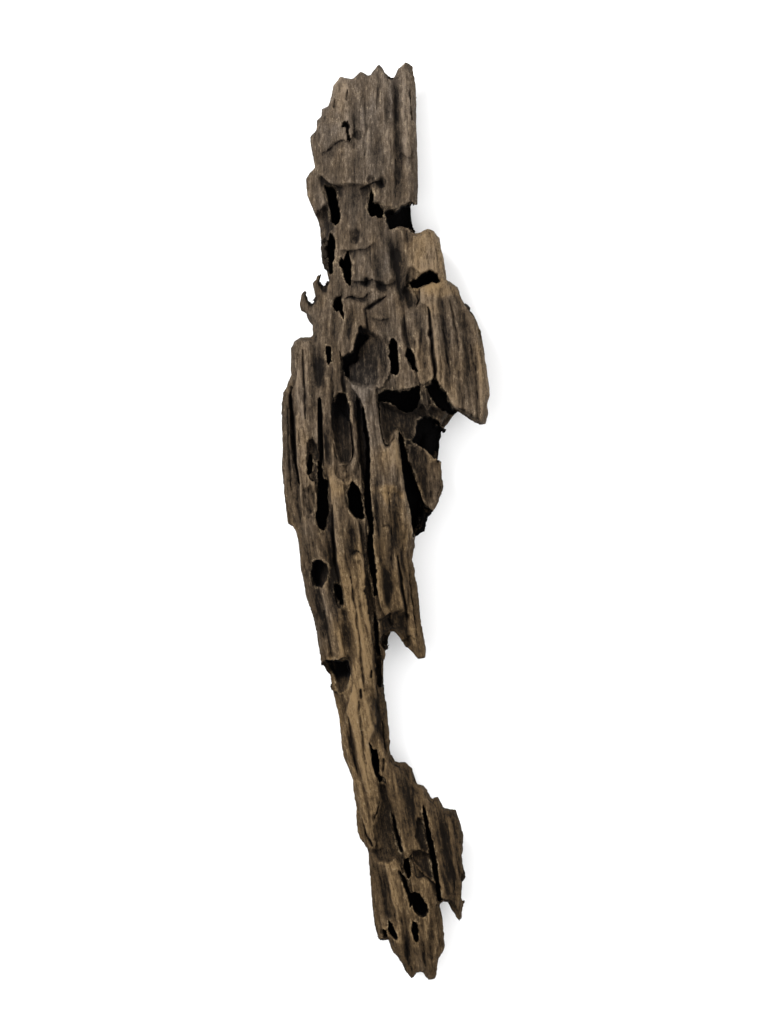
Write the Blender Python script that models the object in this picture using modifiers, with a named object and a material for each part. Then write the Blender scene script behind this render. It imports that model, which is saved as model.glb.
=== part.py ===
# A piece of driftwood, lying on its back.
#
# The wood is one solid. It is drawn flat first, as a slab with a broken outline, splinters and
# plates of wood standing on its front, rounded strands along its back, and pits and splits cut
# into it. The flat piece is then given its real thickness, which is greatest in the middle and
# thin at the edges and the ends, and is set down on three worn spots.
#
# The drawing looks straight at the front. Its units are half a millimetre, X runs to the right
# and Y runs down the piece. In the part's own frame +X is to the right, +Y is up the piece along
# its length, and +Z is out of its front. Depths are in millimetres above the flat back.

import random

import bmesh
import bpy
import numpy as np
from mathutils import Matrix, Vector, noise

# Driving dimensions, in metres.
LENGTH = 0.4595
MM = 0.001

# The drawing's extent: left, right, top and bottom.
DRAWN = (282, 489, 61, 981)
UNIT = LENGTH / (DRAWN[3] - DRAWN[2])

# Depths of the flat piece, in millimetres.
FLAT_DEPTH = 44
SLAB_BACK = 8
SLAB_FRONT = 38
LOWEST_FLOOR = 13
ABOVE = 60

# How fine the wood is worked, and how many triangles it may have at the end.
WORK_SIZE = 0.85 * MM
MOST_TRIANGLES = 11750

SEED = 12

# The broken outline, clockwise from the tip at the top right.
OUTLINE = [
    (406, 61), (411, 64), (414, 69), (416, 78), (417, 95), (417, 130), (418, 160), (418, 203),
    (414, 207), (415, 222), (419, 235), (423, 232), (428, 230), (433, 232), (439, 238), (444, 258),
    (446, 270), (447, 280), (455, 285), (459, 290), (463, 300), (469, 310), (475, 318), (479, 328),
    (482, 340), (486, 368), (488, 385), (489, 396), (487, 405), (487, 415), (485, 423), (481, 425),
    (470, 420), (461, 414), (457, 414), (451, 423), (444, 433), (442, 440), (441, 463), (443, 482),
    (444, 487), (442, 495), (439, 502), (434, 510), (430, 515), (429, 522), (427, 534), (421, 534),
    (417, 536), (414, 537), (411, 550), (414, 565), (418, 588), (420, 610), (423, 630), (426, 650),
    (425, 657), (422, 659), (418, 657), (413, 651), (406, 645), (401, 640), (396, 633), (392, 630),
    (389, 636), (386, 652), (384, 665), (384, 684), (387, 705), (390, 730), (392, 752), (394, 758),
    (398, 762), (406, 762), (412, 768), (416, 780), (417, 784), (426, 788), (430, 796), (433, 799),
    (438, 796), (442, 805), (445, 809), (453, 809), (457, 812), (462, 828), (464, 838), (463, 860),
    (465, 872), (463, 885), (463, 905), (462, 915), (460, 921), (457, 917), (454, 911), (449, 903),
    (443, 902), (440, 900), (440, 908), (443, 925), (445, 937), (445, 945), (443, 953), (440, 957),
    (438, 974), (435, 980), (429, 981), (426, 977), (419, 972), (412, 979), (406, 973), (404, 968),
    (398, 957), (394, 953), (390, 943), (388, 941), (379, 940), (375, 930), (372, 908), (371, 890),
    (369, 868), (368, 853), (366, 847), (360, 840), (357, 832), (355, 805), (353, 780), (349, 770),
    (343, 755), (341, 735), (338, 713), (332, 692), (328, 676), (322, 670), (320, 655), (315, 625),
    (307, 597), (302, 567), (300, 540), (297, 528), (291, 525), (289, 523), (285, 495), (283, 470),
    (283, 440), (282, 405), (284, 393), (289, 387), (292, 378), (292, 348), (297, 341), (303, 338),
    (310, 339), (314, 335), (312, 325), (307, 315), (302, 313), (301, 304), (305, 288), (309, 301),
    (312, 313), (316, 300), (314, 289), (313, 282), (317, 280), (320, 272), (322, 288), (324, 299),
    (327, 299), (328, 285), (327, 272), (323, 258), (322, 240), (320, 225), (312, 206), (308, 196), (307, 180),
    (311, 172), (316, 171), (312, 150), (310, 137), (316, 131), (317, 120), (322, 115), (322, 109),
    (328, 107), (331, 100), (334, 86), (338, 82), (341, 76), (345, 78), (347, 75), (350, 79),
    (354, 78), (358, 73), (363, 72), (369, 76), (375, 71), (378, 65), (383, 68), (388, 77),
    (392, 79), (396, 76), (398, 69), (403, 65),
]

# Where the piece lies along its length: Y in the drawing, its left and right edges there, and the
# depth of its middle and its whole thickness in millimetres.
STATIONS = [
    (61, 340, 418, 14, 20), (130, 312, 418, 17, 32), (200, 308, 420, 19, 36),
    (280, 318, 450, 22, 42), (350, 292, 484, 25, 47), (420, 282, 486, 27, 50),
    (500, 285, 442, 27, 49), (560, 300, 414, 25, 44), (640, 316, 420, 21, 37),
    (700, 334, 388, 19, 31), (760, 344, 396, 18, 29), (820, 354, 460, 18, 30),
    (880, 370, 464, 18, 29), (940, 378, 446, 17, 24), (981, 405, 440, 16, 14),
]
FRONT_THINNING = 0.5
BACK_THINNING = 0.35

# How far the grain has run to the right, by Y in the drawing.
GRAIN_SHIFT = [(61, 300, 400, 500, 600, 700, 800, 900, 981), (0, 0, 4, 12, 27, 47, 67, 85, 98)]

# How much slimmer the strands of the back are at the waist, by their Y in the drawing.
WAIST = [(600, 700, 770, 850), (1, 0.55, 0.55, 0.9)]

# How far the walls of the outline are drawn in towards the back and towards the front, in
# millimetres, the depth where they are widest, and how far they stand out there, to make up for
# what smoothing takes off them.
BACK_ROUNDING = 3.5
FRONT_ROUNDING = 1.2
WIDEST_DEPTH = 26
WALL_GROWTH = 0.6

# Plates and splinters that stand on the front: the depth of the top, how much that rises for each
# unit to the right and for each unit down, and the outline.
PLATES = {
    "head": (42, 0.00, 0.01, [
        (406, 61), (411, 64), (416, 78), (417, 130), (418, 203), (414, 207), (408, 204), (403, 208),
        (397, 212), (392, 210), (386, 211), (381, 206), (374, 205), (372, 195), (370, 188),
        (362, 189), (352, 187), (342, 188), (330, 187), (322, 178), (316, 171), (312, 150),
        (310, 137), (316, 131), (317, 120), (322, 115), (322, 109), (328, 107), (331, 100),
        (334, 86), (341, 76), (345, 78), (347, 75), (350, 79), (358, 73), (363, 72), (369, 76),
        (375, 71), (378, 65), (383, 68), (388, 77), (392, 79), (396, 76), (398, 69)]),
    "head_right_strand": (44, 0.02, 0.0, [
        (398, 69), (406, 61), (411, 64), (416, 78), (417, 130), (418, 203), (414, 207), (405, 203),
        (401, 190), (402, 165), (400, 140), (399, 110), (397, 85)]),
    "head_left_scab": (43.5, -0.02, 0.01, [
        (310, 137), (316, 131), (318, 119), (323, 112), (331, 106), (338, 112), (346, 120),
        (346, 140), (340, 140), (334, 144), (328, 150), (318, 150), (312, 148)]),
    "head_corner": (43.5, 0.0, 0.0, [
        (334, 86), (338, 82), (341, 76), (345, 78), (347, 75), (350, 79), (350, 94), (344, 96),
        (340, 101), (332, 98)]),
    "left_flake": (41, 0.10, 0.0, [
        (311, 171), (317, 173), (321, 185), (327, 203), (323, 212), (317, 218), (312, 206),
        (308, 196), (307, 180)]),
    "shoulder": (43, 0.04, 0.03, [
        (412, 238), (420, 234), (428, 230), (433, 232), (439, 238), (444, 258), (447, 281),
        (440, 286), (438, 280), (433, 274), (427, 275), (421, 278), (417, 272), (411, 269),
        (409, 255)]),
    "neck_right_strand": (42, 0.0, 0.0, [
        (390, 232), (397, 228), (404, 232), (408, 250), (408, 280), (411, 298), (412, 311),
        (405, 306), (400, 290), (397, 265), (392, 245)]),
    "wing": (45, -0.03, -0.01, [
        (419, 290), (426, 286), (440, 285), (448, 282), (456, 286), (460, 292), (465, 304),
        (475, 318), (480, 332), (484, 352), (488, 385), (489, 396), (487, 412), (484, 424),
        (480, 425), (470, 420), (461, 414), (456, 413), (451, 406), (447, 398), (444, 391),
        (438, 386), (436, 372), (433, 350), (431, 330), (427, 312), (420, 304)]),
    "wing_inner_strand": (43, 0.03, 0.0, [
        (404, 309), (411, 312), (418, 304), (424, 310), (427, 325), (429, 345), (432, 365),
        (433, 382), (427, 384), (424, 388), (419, 386), (417, 380), (416, 366), (413, 356),
        (409, 350), (406, 335)]),
    "cheek": (41, 0.03, 0.0, [
        (346, 300), (366, 304), (368, 330), (362, 327), (360, 335), (356, 345), (354, 352),
        (345, 357), (343, 362), (339, 340), (344, 320)]),
    "left_column": (42, -0.03, -0.005, [
        (292, 348), (297, 341), (303, 338), (309, 342), (313, 350), (315, 370), (318, 390),
        (319, 410), (319, 440), (319, 470), (315, 500), (314, 516), (306, 512), (302, 500),
        (299, 484), (296, 470), (295, 440), (296, 418), (301, 411), (297, 400), (294, 385)]),
    "splinter_row": (41.5, 0.0, 0.0, [
        (321, 385), (326, 372), (331, 380), (333, 400), (333, 430), (336, 455), (337, 475),
        (329, 480), (325, 465), (322, 440), (321, 410)]),
    "thin_strand": (41, 0.0, 0.0, [
        (350, 400), (355, 402), (358, 425), (360, 450), (358, 470), (349, 478), (345, 470),
        (355, 458), (353, 430)]),
    "centre_strand": (43.5, 0.0, 0.0, [
        (350, 372), (362, 366), (376, 376), (377, 402), (380, 420), (383, 436), (387, 449),
        (392, 446), (394, 436), (397, 430), (399, 445), (401, 462), (404, 478), (407, 500),
        (411, 520), (410, 545), (406, 560), (408, 580), (408, 600), (399, 612), (391, 610),
        (386, 617), (380, 606), (377, 585), (374, 560), (372, 535), (371, 500), (370, 455),
        (367, 432), (363, 412), (358, 398), (351, 390)]),
    "right_tongue": (42, 0.03, 0.0, [
        (401, 540), (411, 548), (414, 565), (418, 588), (420, 610), (423, 630), (426, 650),
        (425, 657), (422, 659), (418, 657), (413, 649), (410, 630), (406, 612), (402, 590),
        (399, 560)]),
    "middle_strand": (43, 0.0, 0.0, [
        (330, 480), (338, 476), (347, 482), (348, 500), (352, 512), (361, 521), (364, 545),
        (366, 570), (370, 600), (373, 635), (375, 665), (377, 690), (379, 720), (370, 742),
        (372, 762), (379, 785), (380, 800), (376, 811), (373, 816), (376, 828), (378, 846),
        (374, 848), (370, 838), (364, 828), (360, 815), (357, 800), (354, 780), (350, 770),
        (344, 755), (342, 735), (346, 712), (352, 690), (351, 665), (350, 640), (347, 612),
        (343, 590), (336, 560), (334, 530), (331, 505)]),
    "lower_left_plate": (41, -0.02, 0.0, [
        (300, 530), (312, 518), (319, 530), (326, 536), (331, 556), (335, 582), (343, 608),
        (347, 618), (347, 655), (343, 660), (337, 662), (330, 659), (326, 664), (322, 668),
        (318, 640), (309, 602), (302, 567)]),
    "tail_plate": (40, 0.0, 0.0, [
        (398, 766), (406, 763), (414, 774), (418, 788), (424, 792), (426, 806), (430, 830),
        (432, 850), (424, 850), (414, 848), (404, 850), (398, 830), (392, 800), (388, 780)]),
    "tail_wing": (42, 0.0, 0.0, [
        (426, 789), (430, 797), (438, 796), (442, 805), (445, 809), (457, 812), (462, 828),
        (464, 838), (463, 860), (465, 872), (463, 905), (460, 921), (454, 910), (449, 902),
        (441, 898), (437, 870), (433, 845), (430, 815)]),
    "tail_left_strand": (40, 0.0, 0.0, [
        (374, 862), (386, 856), (398, 858), (404, 880), (410, 895), (412, 915), (414, 935),
        (408, 950), (396, 940), (389, 924), (384, 936), (377, 930), (373, 905)]),
    "tail_ridge": (42, 0.0, 0.0, [
        (418, 880), (426, 876), (432, 882), (437, 900), (440, 920), (443, 940), (439, 955),
        (436, 972), (430, 976), (427, 955), (424, 930), (428, 912), (424, 897)]),
}

# Pits: the depth of the floor, how much that rises for each unit to the right and for each unit
# down, how much wider the pit is at its floor than at its mouth, and the mouth's outline.
PITS = {
    "slot_under_head_left": (14, 0.0, 0.0, 1.0, [
        (326, 187), (333, 190), (336, 200), (339, 210), (340, 219), (336, 224), (332, 219),
        (329, 205)]),
    "under_flake": (27, 0.1, 0.15, 1.0, [
        (317, 219), (322, 211), (328, 207), (331, 216), (333, 226), (331, 232), (326, 240),
        (322, 240), (320, 226)]),
    "slot_at_left_rim": (14, 0.0, 0.0, 1.0, [
        (330, 236), (333, 241), (334, 252), (332, 266), (329, 272), (327, 262), (327, 246)]),
    "slot_beside_neck": (13, 0.0, 0.0, 1.05, [
        (347, 253), (350, 258), (352, 268), (352, 279), (350, 286), (346, 280), (342, 272),
        (344, 262)]),
    "slot_under_head": (13, 0.0, 0.0, 1.0, [
        (370, 193), (373, 203), (380, 207), (381, 218), (375, 216), (369, 213), (368, 204)]),
    "hollow_under_head": (13, 0.0, 0.0, 1.05, [
        (387, 214), (392, 212), (397, 214), (403, 210), (409, 206), (417, 207), (418, 224),
        (420, 232), (413, 232), (405, 228), (398, 227), (394, 231), (391, 230), (388, 222)]),
    "shoulder_mouth": (13, 0.0, 0.0, 1.1, [
        (415, 284), (420, 278), (425, 274), (430, 273), (435, 276), (439, 285), (431, 285),
        (425, 287), (418, 290)]),
    "shoulder_groove": (29, 0.0, 0.15, 1.0, [
        (408, 272), (413, 278), (415, 292), (418, 306), (413, 311), (408, 298), (406, 284)]),
    "spike_notch": (14, 0.0, 0.0, 1.0, [
        (335, 298), (341, 298), (342, 308), (341, 318), (338, 311), (334, 306)]),
    "cheek_hollow": (23, 0.85, 0.3, 1.0, [
        (362, 330), (367, 335), (380, 340), (389, 352), (391, 372), (385, 386), (370, 383),
        (357, 377), (347, 380), (343, 370), (343, 359), (354, 353), (357, 343)]),
    "slot_in_centre": (13, 0.0, 0.0, 1.0, [
        (391, 343), (394, 338), (397, 345), (397, 360), (398, 375), (394, 373), (391, 360)]),
    "slot_beside_wing": (14, 0.0, 0.0, 1.0, [
        (409, 350), (412, 354), (415, 366), (416, 378), (412, 372), (407, 362)]),
    "hollow_under_centre": (13, 0.0, 0.0, 1.08, [
        (378, 398), (386, 392), (399, 392), (410, 390), (419, 387), (421, 394), (420, 404),
        (413, 413), (404, 414), (396, 408), (388, 405), (380, 406)]),
    "shelf_under_centre": (23, 0.0, 0.4, 1.0, [
        (378, 404), (390, 402), (404, 410), (420, 402), (432, 420), (424, 420), (415, 432),
        (416, 443), (406, 440), (399, 428), (393, 432), (392, 444), (386, 446), (381, 430)]),
    "hollow_under_wing": (13, 0.15, 0.25, 1.05, [
        (426, 388), (433, 383), (440, 388), (446, 395), (450, 404), (457, 413), (463, 417),
        (453, 424), (444, 429), (436, 420), (430, 410), (428, 400)]),
    "eye": (13, 0.0, 0.0, 1.05, [
        (417, 441), (419, 430), (423, 420), (430, 420), (438, 428), (445, 436), (445, 461),
        (437, 460), (430, 453), (423, 448)]),
    "right_lobe_step": (33, 0.0, 0.0, 1.0, [
        (402, 434), (414, 442), (422, 447), (430, 450), (450, 456), (450, 540), (427, 540),
        (416, 512), (408, 480)]),
    "right_groove": (15, 0.0, 0.0, 1.0, [
        (400, 436), (405, 458), (411, 474), (418, 488), (423, 500), (425, 508), (420, 516),
        (414, 517), (409, 498), (403, 472)]),
    "right_groove_foot": (25, 0.0, 0.0, 1.0, [
        (414, 512), (424, 503), (434, 512), (432, 540), (416, 540)]),
    "left_slit": (16, 0.0, 0.0, 1.0, [
        (291, 388), (295, 410), (297, 440), (298, 466), (302, 486), (297, 484), (293, 464),
        (291, 430)]),
    "far_left_step": (34, 0.0, 0.0, 1.0, [
        (280, 380), (291, 384), (293, 430), (294, 462), (300, 486), (303, 515), (300, 531),
        (280, 531)]),
    "left_column_pit": (31, 0.0, 0.0, 1.0, [
        (308, 446), (313, 441), (317, 449), (317, 466), (315, 484), (310, 480), (307, 464)]),
    "splinter_groove": (15, 0.0, 0.0, 1.0, [
        (319, 398), (323, 398), (324, 440), (325, 474), (330, 482), (330, 500), (328, 530),
        (321, 530), (317, 518), (318, 490), (320, 470), (319, 430)]),
    "splinter_slot": (18, 0.0, 0.0, 1.0, [
        (327, 349), (330, 346), (332, 356), (330, 363), (327, 364)]),
    "flute": (20, 0.0, 0.35, 1.0, [
        (334, 400), (339, 393), (344, 397), (348, 408), (350, 425), (352, 444), (352, 458),
        (345, 466), (338, 462), (335, 440), (332, 415)]),
    "long_groove": (13, 0.0, 0.0, 1.0, [
        (357, 399), (362, 404), (366, 425), (370, 448), (370, 480), (371, 510), (372, 540),
        (376, 575), (377, 594), (373, 592), (368, 560), (366, 535), (366, 515), (364, 495),
        (361, 470), (361, 440), (358, 420)]),
    "oval_by_groove": (13, 0.0, 0.0, 1.0, [
        (352, 482), (357, 487), (361, 496), (361, 508), (358, 518), (353, 515), (349, 507),
        (348, 492)]),
    "lower_slot": (16, 0.0, 0.0, 1.0, [
        (336, 585), (341, 586), (343, 597), (343, 610), (339, 608), (336, 598)]),
    "lower_groove": (17, 0.0, 0.0, 1.0, [
        (367, 572), (373, 585), (376, 605), (377, 640), (378, 666), (375, 676), (374, 650),
        (372, 625), (370, 600)]),
    "under_tongue": (26, 0.0, -0.1, 1.0, [
        (390, 613), (398, 609), (404, 612), (409, 630), (412, 650), (400, 640), (392, 631),
        (388, 640), (383, 655), (380, 640), (379, 620)]),
    "under_lower_plate": (19, -0.1, 0.5, 1.0, [
        (322, 669), (326, 663), (337, 661), (347, 655), (350, 668), (349, 686), (342, 692),
        (334, 690), (330, 684), (326, 676)]),
    "waist_slot": (17, 0.0, 0.0, 1.0, [
        (371, 746), (377, 750), (378, 765), (380, 782), (376, 775), (372, 762)]),
    "tail_flute": (22, -0.2, 0.2, 1.0, [
        (380, 776), (386, 776), (391, 800), (397, 830), (402, 850), (398, 858), (386, 857),
        (373, 852), (376, 847), (379, 830), (374, 816), (380, 805)]),
    "tail_split": (14, 0.0, 0.0, 1.0, [
        (389, 800), (393, 815), (399, 842), (406, 862), (412, 880), (414, 902), (408, 892),
        (403, 874), (396, 850), (391, 825)]),
    "tail_hollow": (22, 0.0, 0.15, 1.0, [
        (414, 850), (424, 849), (432, 852), (436, 872), (438, 893), (433, 882), (426, 875),
        (417, 879), (411, 868), (409, 856)]),
    "tail_scab_pit": (31, 0.0, 0.0, 1.0, [
        (417, 820), (424, 817), (428, 824), (431, 846), (424, 847), (417, 836)]),
    "tail_groove": (19, 0.0, 0.0, 1.0, [
        (424, 806), (428, 818), (433, 842), (437, 868), (441, 900), (436, 896), (432, 868),
        (428, 842)]),
    "tail_hole": (13, 0.0, 0.0, 1.05, [
        (412, 893), (419, 892), (424, 899), (427, 908), (427, 917), (419, 916), (413, 910)]),
    "tail_lower_hole": (13, 0.0, 0.0, 1.0, [
        (411, 921), (415, 924), (418, 932), (418, 940), (414, 938), (411, 930)]),
    "tail_left_hole": (14, 0.0, 0.0, 1.0, [
        (389, 923), (394, 927), (397, 936), (393, 937), (389, 930)]),
}

# The oval worm hole: its middle in the drawing, its half width and half height in drawing units,
# and its half depth in millimetres.
WORM_HOLE = (320, 574, 8, 13, 20)

# The three worn strands that it lies on: the two ends of each in the drawing, its radius and the
# height of its middle in millimetres. Their ends rise into the wood by FEET_RISE.
FEET = [
    ((352, 84), (370, 226), 10, 7.8),
    ((318, 410), (336, 640), 9, 7.7),
    ((412, 400), (394, 620), 9, 7.9),
]
FEET_RISE = 12


def on_sheet(x, y):
    """The place in metres of a point of the drawing."""
    left, right, top, bottom = DRAWN
    return (x - (left + right) / 2) * UNIT, ((top + bottom) / 2 - y) * UNIT


def station(y):
    """The left edge, right edge, middle depth and thickness at a height in the drawing."""
    rows = np.array(STATIONS, float)
    return [np.interp(y, rows[:, 0], rows[:, column]) for column in range(1, 5)]


def clear_scene():
    for old in list(bpy.data.objects):
        bpy.data.objects.remove(old, do_unlink=True)


def add_object(name, data, collection):
    obj = bpy.data.objects.new(name, data)
    collection.objects.link(obj)
    return obj


def as_mesh(obj):
    """The object as a closed mesh of its own, in place of the curve or of its modifiers."""
    graph = bpy.context.evaluated_depsgraph_get()
    mesh = bpy.data.meshes.new_from_object(obj.evaluated_get(graph))
    mesh.transform(obj.matrix_world)
    bpy.data.objects.remove(obj)
    work = bmesh.new()
    work.from_mesh(mesh)
    bmesh.ops.remove_doubles(work, verts=work.verts, dist=1e-6)
    work.to_mesh(mesh)
    work.free()
    return mesh


def prism(name, outline, low, high, collection):
    """A flat piece with a drawn outline, between two depths in millimetres."""
    curve = bpy.data.curves.new(name, "CURVE")
    curve.dimensions = "2D"
    curve.fill_mode = "BOTH"
    curve.extrude = (high - low) * MM / 2
    spline = curve.splines.new("POLY")
    spline.points.add(len(outline) - 1)
    for point, place in zip(spline.points, outline):
        point.co = (*on_sheet(*place), 0, 1)
    spline.use_cyclic_u = True
    obj = add_object(name, curve, collection)
    obj.location.z = (low + high) * MM / 2
    bpy.context.view_layer.update()
    return as_mesh(obj)


def middle_of(outline):
    return np.mean(outline, axis=0)


def plate(name, top, rise_right, rise_down, outline, collection):
    """A plate whose top slopes, rooted in the slab."""
    mesh = prism(name, outline, SLAB_BACK + 16, top, collection)
    x0, y0 = on_sheet(*middle_of(outline))
    for vertex in mesh.vertices:
        if vertex.co.z > (SLAB_BACK + top) * MM / 2:
            across = (vertex.co.x - x0) / UNIT
            down = (y0 - vertex.co.y) / UNIT
            vertex.co.z += (rise_right * across + rise_down * down) * MM
    return mesh


def pit(name, floor, rise_right, rise_down, flare, outline, collection):
    """The space of a pit, from above the front to a sloping floor."""
    mesh = prism(name, outline, floor, ABOVE, collection)
    x0, y0 = on_sheet(*middle_of(outline))
    for vertex in mesh.vertices:
        if vertex.co.z < (floor + ABOVE) * MM / 2:
            across = (vertex.co.x - x0) / UNIT
            down = (y0 - vertex.co.y) / UNIT
            sloped = floor + rise_right * across + rise_down * down
            vertex.co.z = max(sloped, LOWEST_FLOOR) * MM
            vertex.co.x = x0 + (vertex.co.x - x0) * flare
            vertex.co.y = y0 + (vertex.co.y - y0) * flare
    return mesh


def spindle(name, path, radii, stretch, collection):
    """A strand or a split: a round bar through a path, pointed or blunt by its radii. Its depth
    is its width times stretch."""
    curve = bpy.data.curves.new(name, "CURVE")
    curve.dimensions = "3D"
    curve.bevel_depth = 1
    curve.bevel_resolution = 2
    curve.use_fill_caps = True
    spline = curve.splines.new("POLY")
    spline.points.add(len(path) - 1)
    depth = np.mean([z for _, _, z in path])
    for point, (x, y, z), radius in zip(spline.points, path, radii):
        point.co = (*on_sheet(x, y), (depth + (z - depth) / stretch) * MM, 1)
        point.radius = radius * MM
    mesh = as_mesh(add_object(name, curve, collection))
    for vertex in mesh.vertices:
        vertex.co.z = depth * MM + (vertex.co.z - depth * MM) * stretch
    return mesh


def ellipsoid(x, y, depth, radii):
    """A rounded lump at a place of the drawing. Depth and radii are in millimetres."""
    work = bmesh.new()
    bmesh.ops.create_uvsphere(work, u_segments=20, v_segments=12, radius=MM)
    bmesh.ops.scale(work, verts=work.verts, vec=radii)
    bmesh.ops.translate(work, verts=work.verts, vec=(*on_sheet(x, y), depth * MM))
    mesh = bpy.data.meshes.new("ellipsoid")
    work.to_mesh(mesh)
    work.free()
    return mesh


def joined(name, meshes, collection):
    """One object that holds all the meshes, which may overlap."""
    work = bmesh.new()
    for mesh in meshes:
        work.from_mesh(mesh)
        bpy.data.meshes.remove(mesh)
    mesh = bpy.data.meshes.new(name)
    bmesh.ops.recalc_face_normals(work, faces=work.faces)
    work.to_mesh(mesh)
    work.free()
    return add_object(name, mesh, collection)


def is_closed(mesh):
    """Whether every edge has exactly two faces."""
    work = bmesh.new()
    work.from_mesh(mesh)
    closed = all(len(edge.link_faces) == 2 for edge in work.edges)
    work.free()
    return closed


def skinned(obj, size):
    """The outer skin of everything in the object, as one even mesh. Where two walls of it would
    share an edge, it is made again a little finer, until none do."""
    skin = obj.modifiers.new("skin", "REMESH")
    skin.mode = "VOXEL"
    while True:
        skin.voxel_size = size
        graph = bpy.context.evaluated_depsgraph_get()
        mesh = bpy.data.meshes.new_from_object(obj.evaluated_get(graph))
        if is_closed(mesh):
            break
        bpy.data.meshes.remove(mesh)
        size *= 0.985
    name = obj.name
    collection = obj.users_collection[0]
    bpy.data.objects.remove(obj)
    return add_object(name, mesh, collection)


def strand_path(start, end, share, depth, draw):
    """Points of a strand along the grain, at a share of the way between the two edges, wandering
    a little to either side."""
    path = []
    for step in np.linspace(0, 1, 9):
        y = start + (end - start) * step
        left, right, _, _ = station(y)
        x = left + (right - left) * (share + 0.03 * draw.uniform(-1, 1))
        path.append((x, y, depth + draw.uniform(-0.8, 0.8)))
    return path


def back_strands(collection):
    """Rounded strands of harder wood that run along the back."""
    draw = random.Random(SEED)
    meshes = []
    shares = np.linspace(0.16, 0.84, 7)
    for row, share in enumerate(shares):
        y = 70 + 40 * draw.random()
        while y < 880:
            end = min(y + draw.uniform(230, 420), 965)
            radius = draw.uniform(6.5, 9.0)
            depth = 9 + 3 * draw.random() + (row % 2)
            path = strand_path(y, end, share, depth, draw)
            radii = radius * np.array([0.25, 0.7, 0.95, 1, 1, 1, 0.9, 0.7, 0.2])
            waist = np.interp([place[1] for place in path], WAIST[0], WAIST[1])
            meshes.append(spindle("strand", path, radii * waist, 1.25, collection))
            y = end - draw.uniform(20, 60)
    return meshes


def foot(start, end, radius, height, collection):
    """A strand that bows down to the ground in its middle."""
    path = []
    for share in np.linspace(-1, 1, 9):
        x = np.interp(share, (-1, 1), (start[0], end[0]))
        y = np.interp(share, (-1, 1), (start[1], end[1]))
        path.append((x, y, height + FEET_RISE * share**2))
    radii = radius * np.array([0.3, 0.65, 0.85, 0.95, 1, 0.95, 0.85, 0.65, 0.3])
    return spindle("foot", path, radii, 1, collection)


def back_splits(collection):
    """Splits in the back, along the grain."""
    draw = random.Random(SEED + 1)
    meshes = []
    for _ in range(12):
        y = draw.uniform(90, 900)
        length = draw.uniform(50, 150)
        share = draw.uniform(0.12, 0.88)
        path = strand_path(y, min(y + length, 960), share, 1, draw)
        radii = draw.uniform(1.3, 2.2) * np.array([0.1, 0.5, 0.8, 1, 1, 0.9, 0.7, 0.4, 0.1])
        meshes.append(spindle("split", path, radii, 4.5, collection))
    return meshes


def side_splits(collection):
    """Splits that part the layers of wood along both edges."""
    draw = random.Random(SEED + 2)
    meshes = []
    for share in (-0.01, 1.01):
        for _ in range(9):
            y = draw.uniform(100, 900)
            path = strand_path(y, y + draw.uniform(60, 170), share, draw.uniform(16, 34), draw)
            radii = draw.uniform(3.5, 6) * np.array([0.1, 0.5, 0.8, 1, 1, 0.9, 0.7, 0.4, 0.1])
            meshes.append(spindle("side_split", path, radii, 0.4, collection))
    return meshes


def cut(obj, cutter, operation="DIFFERENCE"):
    """The object less the cutter, or what they have in common."""
    boolean = obj.modifiers.new("cut", "BOOLEAN")
    boolean.operation = operation
    boolean.solver = "MANIFOLD"
    boolean.object = cutter
    name = obj.name
    collection = obj.users_collection[0]
    bpy.context.view_layer.update()
    mesh = as_mesh(obj)
    bpy.data.objects.remove(cutter)
    return add_object(name, mesh, collection)


def round_walls(mesh):
    """Draws the walls of the outline in, unevenly, towards the back and the front."""
    moves = []
    for vertex in mesh.vertices:
        place = vertex.co / MM
        below = max(0, WIDEST_DEPTH - place.z) / WIDEST_DEPTH
        above = max(0, place.z - WIDEST_DEPTH) / (FLAT_DEPTH - WIDEST_DEPTH)
        layer = 1 + noise.noise(Vector((place.x / 30, place.y / 40, place.z / 4)))
        inward = (layer * (BACK_ROUNDING * below + FRONT_ROUNDING * above) - WALL_GROWTH) * MM
        moves.append(vertex.normal * Vector((-inward, -inward, 0)))
    for vertex, move in zip(mesh.vertices, moves):
        vertex.co += move
    mesh.update()


def give_thickness(mesh):
    """Turns depths of the flat piece into real ones: thick in the middle and thin at the edges."""
    places = np.empty(len(mesh.vertices) * 3)
    mesh.vertices.foreach_get("co", places)
    places = places.reshape(-1, 3)
    left, right, top, bottom = DRAWN
    x = places[:, 0] / UNIT + (left + right) / 2
    y = (top + bottom) / 2 - places[:, 1] / UNIT
    edge_left, edge_right, middle, thickness = station(y)
    across = np.abs(2 * x - edge_left - edge_right) / (edge_right - edge_left)
    depth = places[:, 2] - FLAT_DEPTH * MM / 2
    thinning = np.where(depth > 0, FRONT_THINNING, BACK_THINNING)
    share = (1 - thinning * np.minimum(across, 1) ** 2) * thickness / FLAT_DEPTH
    places[:, 2] = middle * MM + depth * share
    mesh.vertices.foreach_set("co", places.ravel())
    mesh.update()


def roughen(mesh):
    """Ridges of hard grain and the hollows between them, long down the piece."""
    moves = []
    for vertex in mesh.vertices:
        place = vertex.co / MM
        y = (DRAWN[2] + DRAWN[3]) / 2 - vertex.co.y / UNIT
        across = place.x - np.interp(y, *GRAIN_SHIFT) * UNIT / MM
        ridge = noise.noise(Vector((across / 5.5, place.y / 140, place.z / 12)))
        swell = noise.noise(Vector((across / 20, place.y / 90, place.z / 22 + 7)))
        along = vertex.normal * Vector((0.4, 0.4, 1))
        moves.append(along * (0.9 * ridge + 1.4 * swell) * MM)
    for vertex, move in zip(mesh.vertices, moves):
        vertex.co += move
    mesh.update()


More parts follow.
